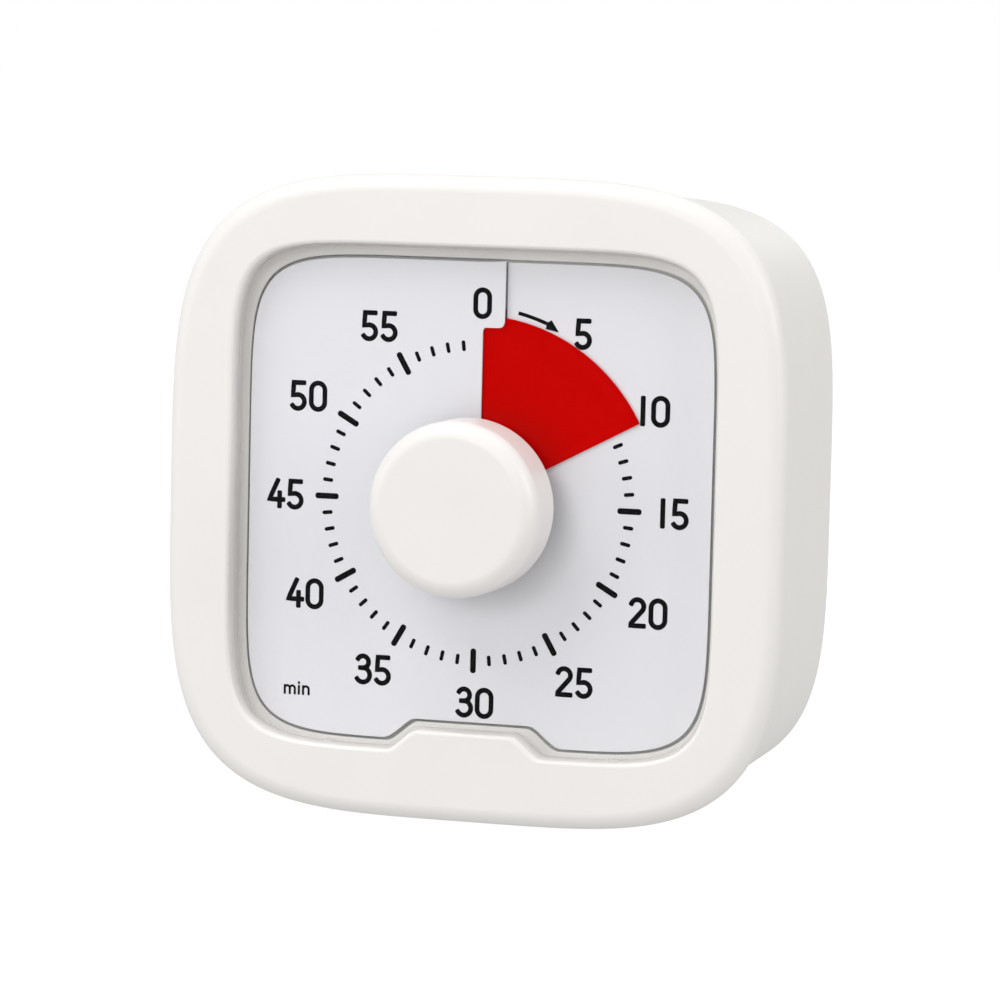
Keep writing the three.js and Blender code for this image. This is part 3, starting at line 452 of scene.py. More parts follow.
MATERIALS = {
    "shell": surface("shell_plastic", (0.80, 0.778, 0.752), spread=0.012, rough=(0.36, 0.44), depth=0.012),
    "knob": surface("knob_plastic", (0.80, 0.775, 0.755), spread=0.012, rough=(0.30, 0.38), depth=0.008),
    "clear": clear_sheet("clear_acrylic"),
    "dial": surface("dial_sheet", (0.845, 0.84, 0.873), spread=0.01, rough=(0.55, 0.65), depth=0.006),
    "red": surface("red_film", (0.60, 0.0, 0.0), spread=0.05, rough=(0.5, 0.6), depth=0.006, specular=0.0),
    "ink": surface("dial_ink", (0.004, 0.004, 0.005), spread=0.3, rough=(0.5, 0.62), depth=0.004,
                   specular=0.05),
    "inner": surface("inner_plastic", (0.70, 0.70, 0.68), spread=0.03, rough=(0.5, 0.6)),
    "gear": surface("acetal", (0.83, 0.78, 0.66), spread=0.04, rough=(0.4, 0.5)),
    "rotor": surface("magnet_compound", (0.03, 0.03, 0.035), spread=0.3, rough=(0.5, 0.65)),
    "steel": surface("plated_steel", (0.62, 0.63, 0.65), spread=0.08, rough=(0.24, 0.38), metallic=1.0),
    "magnet": surface("nickel_plate", (0.72, 0.71, 0.69), spread=0.05, rough=(0.16, 0.28), metallic=1.0),
    "copper": surface("enamelled_copper", (0.60, 0.27, 0.12), spread=0.15, rough=(0.3, 0.4), metallic=1.0),
    "board": surface("solder_mask", (0.03, 0.16, 0.07), spread=0.2, rough=(0.35, 0.5)),
    "black": surface("black_plastic", (0.02, 0.02, 0.022), spread=0.25, rough=(0.45, 0.58)),
    "cell": surface("cell_sleeve", (0.06, 0.13, 0.30), spread=0.08, rough=(0.28, 0.38), coat=0.2),
    "rubber": surface("soft_rubber", (0.30, 0.30, 0.31), spread=0.08, rough=(0.75, 0.88), grain=3000,
                      depth=0.03),
}


# ------------------------------------------------------------------ shell

def screw_places():
    """The four screws that hold the shells together."""
    return [(-SCREW_X, -SCREW_Z), (SCREW_X, -SCREW_Z), (-SCREW_X, SCREW_Z), (SCREW_X, SCREW_Z)]


def front_bezel():
    """One ring whose section runs round its outer edge, over the skirt and the ledge to the window."""
    tall = BODY_HALF_HEIGHT - BODY_HALF_WIDTH
    round_edge = BEZEL_EDGE_RADIUS
    edge = arc(BODY_HALF_WIDTH - round_edge, BEZEL_FRONT + round_edge, round_edge, -90, BEZEL_EDGE_SWEEP, 22)
    rings = [shell_ring(half, y, BODY_POWER, tall) for half, y in edge]
    underside = edge[-1][1]
    outer, inner, back, corner = SKIRT["outer"], SKIRT["inner"], SKIRT["back"], SKIRT["round"]
    skirt = [(outer, underside), (outer, back - corner), (outer - corner, back), (inner + corner, back),
             (inner, back - corner), (inner, SKIRT["front"])]
    rings += [shell_ring(half, y, REAR_POWER) for half, y in skirt]
    rings += [shell_ring(CHANNEL_HALF, y, CHANNEL_POWER) for y in (SKIRT["front"], LEDGE_BACK)]
    part_way = LEDGE_ROUND * 0.3
    lip = [(LEDGE_HALF + LEDGE_BREAK, LEDGE_BACK), (LEDGE_HALF, LEDGE_BACK - LEDGE_BREAK),
           (LEDGE_HALF, LEDGE_FRONT + LEDGE_ROUND), (LEDGE_HALF + part_way, LEDGE_FRONT + part_way),
           (LEDGE_HALF + LEDGE_ROUND, LEDGE_FRONT)]
    rings += [shell_ring(half, y, WINDOW_POWER, tab=half - WINDOW_HALF, middle=AXIS_Z) for half, y in lip]
    fillet = arc(WINDOW_HALF + BEZEL_FILLET, BEZEL_FRONT + BEZEL_FILLET, BEZEL_FILLET, 180, 270, 10)
    opening = [(WINDOW_HALF, LEDGE_FRONT), *fillet]
    rings += [shell_ring(half, y, WINDOW_POWER, tab=half - WINDOW_HALF) for half, y in opening]
    bezel = loft("bezel", rings, closed=True)
    bore, floor_y = POST_BORE["radius"], POST_BORE["front"]
    post = [(0, floor_y), (bore, floor_y), (bore, POST_END), (POST_RADIUS, POST_END),
            (POST_RADIUS, POST_FRONT), (0, POST_FRONT)]
    for x, z in screw_places():
        combine(bezel, turned("post", post, x, z, 48), "UNION")
    return finish_piece(bezel, "housing", "shell", MATERIALS["shell"], replaces=["front_bezel"])


def window_lens():
    """The clear sheet, with a bevelled front rim and a hole for the knob's stem."""
    edge = WINDOW_HALF - GAP
    section = [(LENS_BREAK, LENS_BACK), (0.0, LENS_BACK - LENS_BREAK), (0.0, LENS_FRONT + LENS_BEVEL),
               (LENS_BREAK, LENS_FRONT + LENS_BREAK), (LENS_BEVEL, LENS_FRONT)]
    rings = [shell_ring(edge - inset, y, WINDOW_POWER, tab=-GAP - inset) for inset, y in section]
    lens = loft("window_lens", rings)
    back, front = LENS_BACK + 1, LENS_FRONT - 1
    hole = [(0, back), (LENS_HOLE, back), (LENS_HOLE, front), (0, front)]
    combine(lens, turned("hole", hole, 0, AXIS_Z), "DIFFERENCE")
    return finish_piece(lens, "housing", "clear", MATERIALS["clear"], replaces=["lens"])


def well(name, x, z, radius, depth, rim=0.3):
    """A cutter for a round hole in the back, with a rounded rim."""
    flare = [(radius + rim - dx, BACK - rim + dy) for dx, dy in arc(0, 0, rim, 0, 90, 5)]
    profile = [(0, BACK - depth), (radius, BACK - depth), *flare, (radius + rim, BACK + 1), (0, BACK + 1)]
    return turned(name, profile, x, z, 48)


def slot_cutter(name, x0, x1, z0, z1, corner, depth, rim=0.3):
    """A cutter for a rounded rectangular opening in the back, with a rounded rim."""
    rings = [rounded_ring(x0, x1, z0, z1, corner, BACK - depth)]
    for dx, dy in arc(0, 0, rim, 0, 90, 5):
        grow = rim - dx
        rings.append(rounded_ring(x0 - grow, x1 + grow, z0 - grow, z1 + grow, corner + grow, BACK - rim + dy))
    rings.append(rounded_ring(x0 - rim, x1 + rim, z0 - rim, z1 + rim, corner + rim, BACK + 1))
    return loft(name, rings)


def door_outline(gap):
    """The x half width, the low and high edges and the floor of the battery door's opening."""
    margin = DOOR_MARGIN + gap
    return BAY["half"] + margin, BAY["low"] - margin, BAY["high"] + margin, BACK - BACK_WALL - gap


def bay_cutter():
    """One stepped cutter: the door's recess, and the battery bay below it."""
    half, low, high, step = door_outline(0)
    bay = (-BAY["half"], BAY["half"], BAY["low"], BAY["high"])
    rim = 0.25
    part_way = rim * 0.3
    rings = [rounded_ring(*bay, 1.2, y) for y in (BAY["floor"], step)]
    door_steps = [(0.0, 0.8, step), (0.0, 0.8, BACK - rim), (part_way, 1.0, BACK - part_way),
                  (rim, 1.2, BACK), (rim, 1.2, BACK + 1)]
    for grow, corner, y in door_steps:
        rings.append(rounded_ring(-half - grow, half + grow, low - grow, high + grow, corner, y))
    return loft("bay", rings)


def sounder_places():
    """One hole in the middle and six round it."""
    x, z, ring = SOUNDER["x"], SOUNDER["z"], SOUNDER["ring"]
    return [(x, z), *[(x + ring * c, z + ring * s) for c, s in around(6)]]


def along_x(name, radius, x0, x1, y, z, sides=32):
    """A round bar along X."""
    circle = around(sides)
    rings = [[(x, y + radius * c, z + radius * s) for c, s in circle] for x in (x0, x1)]
    return loft(name, rings)


def disc_across(name, x, y, radius, low, high, rim=0.0, sides=64):
    """A disc with its axis along Z, its lower edge rounded by rim."""
    lower_edge = [(radius - rim + dx, low + rim - dz) for dz, dx in arc(0, 0, rim, 0, 90, 5)]
    profile = [(ON_AXIS, low), *lower_edge, (radius, high), (ON_AXIS, high)]
    circle = around(sides)
    rings = [[(x + r * c, y + r * s, z) for c, s in circle] for r, z in profile]
    return loft(name, rings)


def rear_shell():
    """A cup: the outer wall with its rounded back edge, the front rim and the inner wall."""
    rim = REAR_RIM
    drawn_in, depth = REAR_TAPER
    outside = arc(REAR_HALF_BACK - BACK_EDGE_RADIUS, BACK - BACK_EDGE_RADIUS, BACK_EDGE_RADIUS, 90, 0, 14)
    outside += [(REAR_HALF - drawn_in, depth), (REAR_HALF, REAR_STRAIGHT)]
    outside += [(REAR_HALF - rim + dx, REAR_FRONT + rim - dy) for dx, dy in arc(0, 0, rim, 0, 90, 4)]
    inside = [(REAR_HALF - WALL, REAR_FRONT), (REAR_HALF - WALL, REAR_STRAIGHT),
              (REAR_HALF_BACK - WALL, BACK - BACK_WALL)]
    rings = [shell_ring(half, y, REAR_POWER) for half, y in outside + inside]
    return loft("back_shell", rings)


def plug(name, radius, front, x, z, sides):
    """A round post from the depth front into the back wall."""
    end = BACK - 1
    return turned(name, [(0, front), (radius, front), (radius, end), (0, end)], x, z, sides)


def back_shell():
    """The rear shell with its battery bay, screw tubes and magnet bosses, and every opening in the back."""
    shell = rear_shell()
    wall = BAY_WALL
    bay = (-BAY["half"] - wall, BAY["half"] + wall, BAY["low"] - wall, BAY["high"] + wall)
    joined = [loft("bay_walls", [rounded_ring(*bay, 2.0, y) for y in (BAY["floor"] - wall, BACK - 1)])]
    joined += [plug("tube", TUBE_RADIUS, POST_END + GAP, x, z, 48) for x, z in screw_places()]
    boss_front = BACK - BACK_WALL - 2
    joined += [plug("boss", MAGNET_RADIUS + BOSS_WALL, boss_front, x, z, 64) for x, z in MAGNETS]
    combine_all(shell, joined, "UNION")
    cuts = [bay_cutter()]
    cuts += [well("well", x, z, 2.4, BACK - POST_END - GAP - 2.5) for x, z in screw_places()]
    cuts += [well("pocket", x, z, MAGNET_RADIUS + GAP, BACK_WALL + 0.8, 0.25) for x, z in MAGNETS]
    cuts += [well("hole", x, z, SOUNDER["hole"], 4.0, 0.25) for x, z in sounder_places()]
    across, up = SLOT
    cuts.append(slot_cutter("slot", SLIDER_X - across, SLIDER_X + across, SLIDER_Z - up, SLIDER_Z + up,
                            0.8, BACK_WALL + 1))
    combine_all(shell, cuts, "DIFFERENCE")
    return finish_piece(shell, "housing", "shell", MATERIALS["shell"], replaces=["rear_housing"])


def battery_hatch():
    """The door: a flat panel with a full round heel at its hinge, a thumb recess and a latch tongue."""
    half, low, high, step = door_outline(-GAP)
    thickness = BACK - step
    heel_radius = thickness / 2
    pivot_y = BACK - heel_radius
    pivot_z = low + heel_radius
    section = [(pivot_y + heel_radius * math.cos(a), pivot_z - heel_radius * math.sin(a))
               for a in [math.pi * i / 16 for i in range(17)]]
    section += [(step, high), (BACK, high)]
    door = loft("battery_hatch", [[(x, y, z) for y, z in section] for x in (-half, half)])
    tongue = (-TONGUE["half"], TONGUE["half"], TONGUE["low"], TONGUE["high"])
    ends = (step - TONGUE["reach"], BACK - 1)
    combine(door, loft("tongue", [rounded_ring(*tongue, 0.3, y) for y in ends]), "UNION")
    pin_end = half + DOOR_PIN["reach"]
    combine(door, along_x("pin", DOOR_PIN["radius"], -pin_end, pin_end, pivot_y, pivot_z), "UNION")
    rim = 0.3
    part_way = 0.1
    recess = []
    for grow, y in ((0, BACK - GRIP["depth"]), (0, BACK - rim), (part_way, BACK - part_way),
                    (rim, BACK), (rim, BACK + 1)):
        reach = GRIP["half"] + grow
        recess.append(rounded_ring(-reach, reach, high - GRIP["low"] - grow, high - GRIP["high"] + grow,
                                   0.7 + grow, y))
    combine(door, loft("recess", recess), "DIFFERENCE")
    soften(door, 0.22)
    return finish_piece(door, "battery_door", "shell", MATERIALS["shell"], replaces=["battery_door"])


def magnets():
    """Two plated discs, set just below the back's surface."""
    inner_back = BACK - BACK_WALL
    for i, (x, z) in enumerate(MAGNETS):
        profile = with_rounds([(0, inner_back - 0.5), (MAGNET_RADIUS, inner_back - 0.5),
                               (MAGNET_RADIUS, BACK - 0.2), (0, BACK - 0.2)], 0.35)
        piece = turned(f"fridge_magnet_{i + 1}", profile, x, z)
        finish_piece(piece, "housing", "magnet", MATERIALS["magnet"], replaces=[f"magnet_{i + 1}"])


def feet():
    """Two rubber discs that stand on the ground."""
    low = 0.001 - SHIFT.z * 1000
    for i, (x, y) in enumerate(FEET):
        piece = disc_across(f"foot_{i + 1}", x, y, FOOT_RADIUS, low, low + FOOT_HEIGHT, FOOT_ROUND)
        finish_piece(piece, "housing", "rubber", MATERIALS["rubber"], replaces=[f"rear_foot_{i + 1}"])


# ------------------------------------------------------------------ dial, disc and knob

def dial_y(angle):
    """Depth of the dial sheet's middle at a clockwise angle from twelve o'clock."""
    return -PITCH * angle / (2 * math.pi)


def dial_reach(angle):
    """Radius of the dial's square edge, which passes over the bezel's tab."""
    s, c = math.sin(angle), math.cos(angle)
    power = WINDOW_POWER
    reach = ((abs(s) / DIAL_HALF) ** power + (abs(c) / DIAL_HALF) ** power) ** (-1 / power)
    if c < 0:
        reach -= tab_lift(reach * s, DIAL_HALF - WINDOW_HALF) / max(-c, 0.5)
    return reach


def sheet_solid(columns, thickness):
    """A thin closed sheet from columns of [x, y, z] points, each column from the inner to the outer edge."""
    rows = len(columns[0])
    vertices, faces = [], []
    for column in columns:
        vertices += [(x, y - thickness / 2, z) for x, y, z in column]
        vertices += [(x, y + thickness / 2, z) for x, y, z in reversed(column)]
    ring = 2 * rows
    for i in range(len(columns) - 1):
        for k in range(ring):
            n = (k + 1) % ring
            faces.append((i * ring + k, i * ring + n, (i + 1) * ring + n, (i + 1) * ring + k))
    for base in (0, (len(columns) - 1) * ring):
        for k in range(rows - 1):
            faces.append((base + k, base + k + 1, base + ring - 2 - k, base + ring - 1 - k))
    return vertices, faces


def polar(radius, angle, y):
    return (radius * math.sin(angle), y, AXIS_Z + radius * math.cos(angle))


def dial_turn():
    """Columns of one turn of a shallow helix, and one more that carries its end past twelve o'clock."""
    columns = []
    for i in range(OUTLINE + 1):
        angle = 2 * math.pi * i / OUTLINE
        edge = dial_reach(angle)
        radii = [DIAL_HOLE, DIAL_MIDDLE, SLIT_JOG_RADIUS, (SLIT_JOG_RADIUS + edge) / 2, edge]
        columns.append([polar(radius, angle, dial_y(angle)) for radius in radii])
    columns.append([(x + SLIT_EDGE, y, z) for x, y, z in columns[-1]])
    return columns


def dial_tab(steps=16):
    """Columns of the tab past the 0, with a rounded outer corner and a fillet at its root."""
    columns = []
    for i in range(steps + 1):
        x = SLIT_EDGE + (SLIT_JOG - SLIT_EDGE) * i / steps
        cut = max(x - (SLIT_JOG - SLIT_CORNER), 0.0)
        foot = SLIT_JOG_RADIUS + SLIT_CORNER - math.sqrt(max(SLIT_CORNER ** 2 - cut ** 2, 0.0))
        if x < SLIT_EDGE + SLIT_FILLET:
            across = SLIT_EDGE + SLIT_FILLET - x
            foot -= SLIT_FILLET - math.sqrt(max(SLIT_FILLET ** 2 - across ** 2, 0.0))
        top = dial_reach(math.atan2(x, DIAL_HALF))
        column = []
        for k in range(5):
            z = foot + (top - foot) * k / 4
            column.append((x, dial_y(2 * math.pi + math.atan2(x, z)), AXIS_Z + z))
        columns.append(column)
    return columns


def dial_face():
    """The dial sheet, whose upper layer ends in a tab with a fine gap beside it in the lower layer."""
    vertices, faces = sheet_solid(dial_turn(), DIAL_SHEET)
    tab_vertices, tab_faces = sheet_solid(dial_tab(), DIAL_SHEET)
    offset = len(vertices)
    faces += [tuple(offset + i for i in face) for face in tab_faces]
    piece = build("dial_face", vertices + tab_vertices, faces)
    low, high = AXIS_Z + SLIT_JOG_RADIUS + SLIT_CORNER, 40
    slit = [rounded_ring(SLIT_JOG - SLIT_WIDTH, SLIT_JOG + SLIT_GAP, low, high, 0.1, y)
            for y in (-SLIT_DEPTH, SLIT_DEPTH)]
    combine(piece, loft("slit", slit), "DIFFERENCE")
    return finish_piece(piece, "housing", "dial", MATERIALS["dial"], replaces=["dial_plate"])


def red_sector():
    """The red film, half a pitch above the dial from 0 to the set angle and below it elsewhere."""
    columns = []
    for i in range(OUTLINE + 1):
        angle = SET_ANGLE - 2 * math.pi + 2 * math.pi * i / OUTLINE
        y = dial_y(angle) - PITCH / 2
        columns.append([polar(radius, angle, y) for radius in DISC_RINGS])
    disc = build("red_sector", *sheet_solid(columns, DISC_SHEET))
    inner, outer, front, back = DISC_HUB["inner"], DISC_HUB["outer"], DISC_HUB["front"], DISC_HUB["back"]
    hub = [(inner, front), (outer, front), (outer, back), (inner, back), (inner, front)]
    combine(disc, turned("hub", hub, 0, AXIS_Z), "UNION")
    return finish_piece(disc, "red_disc", "red", MATERIALS["red"], replaces=["red_disc"])


def knob():
    """A rounded cap with a hollow behind it, a hub, and a bored stem for the spindle."""
    front = arc(KNOB_RADIUS - KNOB_EDGE, KNOB_FRONT + KNOB_EDGE, KNOB_EDGE, -90, 0, 16)
    foot = [(KNOB_RADIUS, KNOB_BACK - 0.4), (KNOB_RADIUS - 0.12, KNOB_BACK - 0.12),
            (KNOB_RADIUS - 0.4, KNOB_BACK)]
    hub, stem, bore = KNOB_HUB["radius"], KNOB_STEM["radius"], KNOB_BORE["radius"]
    inside = [(KNOB_INNER, KNOB_BACK), (KNOB_INNER, KNOB_WEB), (hub, KNOB_WEB), (hub, KNOB_HUB["back"]),
              (stem, KNOB_HUB["back"]), (stem, KNOB_STEM["back"]), (bore, KNOB_STEM["back"]),
              (bore, KNOB_BORE["front"]), (0, KNOB_BORE["front"])]
    piece = turned("timer_knob", [(0, KNOB_FRONT), *front, *foot, *inside], 0, AXIS_Z, 144)
    return finish_piece(piece, "knob", "knob", MATERIALS["knob"], replaces=["knob"])


# ------------------------------------------------------------------ dial printing

INK = 0.03             # height of the printed ink above the sheet
CAP = 3.52             # height of a numeral between the middles of its strokes
STROKE = 0.66
OVERRUN = 0.9          # how far an open stroke runs over its ends, as a share of its half width
NUMERAL_X = 26.9       # radii of the ring of numerals, and a push outwards of those off the axes
NUMERAL_Z = 26.6
NUMERAL_PUSH = 0.6
LONG_MARK = (3.3, 0.39)        # length and half width
SHORT_MARK = (1.42, 0.25)
ARROW_SHAFT = {"start": 11.3, "sweep": 9.3, "radius": 25.95, "drop": 0.12, "half": 0.24, "steps": 12}
ARROW_HEAD = {"base": (9.25, 24.1), "tip": (10.7, 23.1), "half": 0.72}

HIGH = CAP / 2
GLYPHS = {
    "0": (2.86, [arc(0, HIGH - 0.96, 0.96, 0, 180, 20) + arc(0, 0.96 - HIGH, 0.96, 180, 360, 20)
                 + [(0.96, HIGH - 0.96)]]),
    "1": (1.95, [[(0, 0.06 - HIGH), (0, HIGH - 0.06)]]),
    "2": (2.74, [arc(-0.03, HIGH - 0.88, 0.88, 160, -38, 20)
                 + [(-0.84, 0.36 - HIGH), (-0.88, 0.06 - HIGH), (0.9, 0.06 - HIGH)]]),
    "3": (2.74, [arc(-0.04, HIGH - 0.8, 0.8, 152, -84, 20) + [(-0.42, 0.16)],
                 arc(-0.02, 0.97 - HIGH, 0.97, 84, -148, 22)]),
    "4": (2.74, [[(0.24, HIGH), (-0.93, -0.82), (1.05, -0.82)], [(0.52, 0.1), (0.52, 0.04 - HIGH)]]),
    "5": (2.74, [[(0.78, HIGH - 0.04), (-0.66, HIGH - 0.04), (-0.76, 0.02)]
                 + arc(-0.06, 0.93 - HIGH, 0.93, 104, -146, 22)]),
}
SMALL_GLYPHS = {
    "m": (1.9, [[(-0.72, -0.55), (-0.72, 0.5)],
                arc(-0.36, 0.14, 0.36, 180, 0, 10) + [(0, -0.55)],
                arc(0.36, 0.14, 0.36, 180, 0, 10) + [(0.72, -0.55)]]),
    "i": (0.7, [[(0, -0.55), (0, 0.5)], [(0, 0.92), (0, 1.0)]]),
    "n": (1.3, [[(-0.4, -0.55), (-0.4, 0.5)], arc(0, 0.1, 0.4, 180, 0, 10) + [(0.4, -0.55)]]),
}


def resample(points, step):
    """The path with extra points, so that no stretch is longer than the step."""
    out = [points[0]]
    for a, b in zip(points, points[1:]):
        pieces = max(1, math.ceil(math.dist(a, b) / step))
        for k in range(1, pieces + 1):
            out.append((a[0] + (b[0] - a[0]) * k / pieces, a[1] + (b[1] - a[1]) * k / pieces))
    return out


def unit(a, b):
    length = math.dist(a, b) or 1.0
    return ((b[0] - a[0]) / length, (b[1] - a[1]) / length)


def rounded_end(tip, inward, half, corner):
    """Points and half widths that close a stroke's end; corner is the share of the half width rounded."""
    radius = half * corner
    rows = []
    for k in range(5):
        angle = math.radians(90 * (1 - k / 5))
        back = radius * (1 - math.sin(angle))
        point = (tip[0] + inward[0] * back, tip[1] + inward[1] * back)
        rows.append((point, half - radius + radius * math.cos(angle)))
    return rows


def ribbon(points, half, closed, corner):
    """Left and right edges of a stroke along the points. Open strokes run over both ends."""
    if closed:
        rows = [(p, half) for p in points]
    else:
        first, last = unit(points[0], points[1]), unit(points[-1], points[-2])
        over = half * OVERRUN
        start = (points[0][0] - first[0] * over, points[0][1] - first[1] * over)
        end = (points[-1][0] - last[0] * over, points[-1][1] - last[1] * over)
        rows = rounded_end(start, first, half, corner) + [(p, half) for p in points]
        rows += rounded_end(end, last, half, corner)[::-1]
    edges = []
    count = len(rows)
    for i, (point, width) in enumerate(rows):
        before = rows[(i - 1) % count][0] if closed or i > 0 else None
        after = rows[(i + 1) % count][0] if closed or i < count - 1 else None
        d0 = unit(before, point) if before else unit(point, after)
        d1 = unit(point, after) if after else d0
        normal = (-(d0[1] + d1[1]), d0[0] + d1[0])
        length = math.hypot(*normal) or 1.0
        stretch = min(2 / length, 1.35) * width / length
        edges.append(((point[0] + normal[0] * stretch, point[1] + normal[1] * stretch),
                      (point[0] - normal[0] * stretch, point[1] - normal[1] * stretch)))
    return edges


def printed(edges, closed, turn, extra=0.0):
    """A thin solid on the dial between two edges. turn is added to a point's angle before its depth."""
    vertices = []
    for left, right in edges:
        for (x, z), lift in ((left, INK + extra), (right, INK + extra), (right, -0.02), (left, -0.02)):
            angle = math.atan2(x, z) % (2 * math.pi) if turn is None else math.atan2(x, z) + turn
            vertices.append((x, dial_y(angle) - DIAL_SHEET / 2 - lift, AXIS_Z + z))
    faces = []
    count = len(edges)
    for i in range(count if closed else count - 1):
        j = (i + 1) % count
        for k in range(4):
            n = (k + 1) % 4
            faces.append((4 * i + k, 4 * i + n, 4 * j + n, 4 * j + k))
    if not closed:
        faces += [(0, 1, 2, 3), tuple(4 * count - 4 + k for k in range(4))]
    return vertices, faces


class Print:
    """Gathers strokes into one mesh."""

    def __init__(self):
        self.vertices, self.faces = [], []

    def add(self, vertices, faces):
        base = len(self.vertices)
        self.vertices += vertices
        self.faces += [tuple(base + i for i in face) for face in faces]

    def stroke(self, points, half, corner=0.55, turn=None, extra=0.0):
        closed = math.dist(points[0], points[-1]) < 1e-6
        path = resample(points, 0.6)
        if closed:
            path = path[:-1]
        self.add(*printed(ribbon(path, half, closed, corner), closed, turn, extra))

    def text(self, word, glyphs, x, z, half, scale=1.0, turn=None):
        """A word centred on (x, z), measured from the dial's axis."""
        at = x - sum(glyphs[c][0] for c in word) * scale / 2
        for letter in word:
            width, strokes = glyphs[letter]
            middle = at + width * scale / 2
            for i, points in enumerate(strokes):
                moved = [(middle + px * scale, z + pz * scale) for px, pz in points]
                if math.dist(points[0], points[-1]) < 1e-6:
                    moved[-1] = moved[0]
                self.stroke(moved, half, turn=turn, extra=0.002 * i)
            at += width * scale

    def piece(self, name):
        made = build(name, self.vertices, self.faces)
        return finish_piece(made, "housing", "black", MATERIALS["ink"], angle=25)


def numerals():
    """Minutes from 0 to 55 on an almost round ring, clockwise from the top."""
    ink = Print()
    for value in range(0, 60, 5):
        angle = math.radians(6 * value)
        s, c = math.sin(angle), math.cos(angle)
        push = 0 if value % 15 == 0 else math.copysign(NUMERAL_PUSH, s)
        x = NUMERAL_X * s + push + (0.3 if value in (0, 30) else 0)
        turn = 2 * math.pi if value == 0 else None
        ink.text(str(value), GLYPHS, x, NUMERAL_Z * c, STROKE / 2, turn=turn)
    return ink.piece("dial_numerals")


def minute_marks():
    """Marks for each minute, longer every five; the one at the slit is left out."""
    ink = Print()
    for minute in range(1, 60):
        length, half = LONG_MARK if minute % 5 == 0 else SHORT_MARK
        angle = math.radians(6 * minute)
        reach = length / 2 - half * OVERRUN
        ends = [MARK_RADIUS - reach, MARK_RADIUS + reach]
        ink.stroke([(r * math.sin(angle), r * math.cos(angle)) for r in ends], half, corner=0.9)
    return ink.piece("minute_marks")


def turn_arrow():
    """A curved arrow from the 0 towards the 5."""
    steps = ARROW_SHAFT["steps"]
    rows = []
    for i in range(steps + 1):
        angle = math.radians(ARROW_SHAFT["start"] + ARROW_SHAFT["sweep"] * i / steps)
        radius = ARROW_SHAFT["radius"] - ARROW_SHAFT["drop"] * i / steps
        rows.append(((radius * math.sin(angle), radius * math.cos(angle)), ARROW_SHAFT["half"]))
    base, tip = ARROW_HEAD["base"], ARROW_HEAD["tip"]
    direction = unit(base, tip)
    for share in (0.0, 0.25, 0.5, 0.75, 0.97):
        point = (base[0] + (tip[0] - base[0]) * share, base[1] + (tip[1] - base[1]) * share)
        rows.append((point, ARROW_HEAD["half"] * (1 - share)))
    edges = []
    for i, (point, half) in enumerate(rows):
        on_shaft = i <= steps
        along = unit(rows[max(i - 1, 0)][0], rows[min(i + 1, steps)][0]) if on_shaft else direction
        edges.append(((point[0] - along[1] * half, point[1] + along[0] * half),
                      (point[0] + along[1] * half, point[1] - along[0] * half)))
    ink = Print()
    ink.add(*printed(edges, False, None))
    return ink.piece("turn_arrow")


def unit_mark():
    """The unit of the dial, small, in its lower left corner."""
    ink = Print()
    ink.text("min", SMALL_GLYPHS, -24.8, -26.4, 0.15)
    return ink.piece("unit_mark")


# ------------------------------------------------------------------ pieces seen through the back

def slider_block(name, middle, across, up, corner, depths):
    """A rounded block of the volume slider, by its middle in x, half sizes and two depths."""
    outline = (middle - across, middle + across, SLIDER_Z - up, SLIDER_Z + up)
    return loft(name, [rounded_ring(*outline, corner, y) for y in depths])


def volume_button():
    """The slider: a base behind the wall and a ridged nub in the slot."""
    inner_back = BACK - BACK_WALL
    base = slider_block("volume_button", SLIDER_X, *SLIDER_BASE, 0.4, (inner_back - 1.4, inner_back - GAP))
    nub = slider_block("nub", SLIDER_X, SLIDER_NUB, SLIDER_NUB, 0.3, (inner_back - 0.6, BACK - 0.5))
    combine(base, nub, "UNION")
    for offset in SLIDER_RIDGES:
        ridge = slider_block("ridge", SLIDER_X + offset, 0.17, 1.5, 0.12, (BACK - 0.8, BACK - 0.12))
        combine(base, ridge, "UNION")
    soften(base, 0.08, 2)
    return finish_piece(base, "volume_slider", "black", MATERIALS["black"], replaces=["volume_slider"])


def sounder_can():
    """A round can on the board, with a sound hole in its top."""
    low = BOARD_BACK + 0.2
    top = low + 4.8
    floor_y = low + 3.6
    radius, hole = SOUNDER["radius"], 1.2
    corners = [(0, low), (radius, low), (radius, top), (hole, top), (hole, floor_y), (0, floor_y)]
    piece = turned("sounder_can", with_rounds(corners, 0.5, 5), SOUNDER["x"], SOUNDER["z"])
    return finish_piece(piece, "housing", "black", MATERIALS["black"], replaces=["sounder"])


def x_turned(name, profile, sides=CIRCLE):
    """A turned solid about the cell's axis, from [radius, x] pairs."""
    circle = around(sides)
    rings = []
    for radius, x in profile:
        r = max(radius, ON_AXIS)
        rings.append([(x, CELL_Y + r * c, CELL_Z + r * s) for c, s in circle])
    return loft(name, rings)


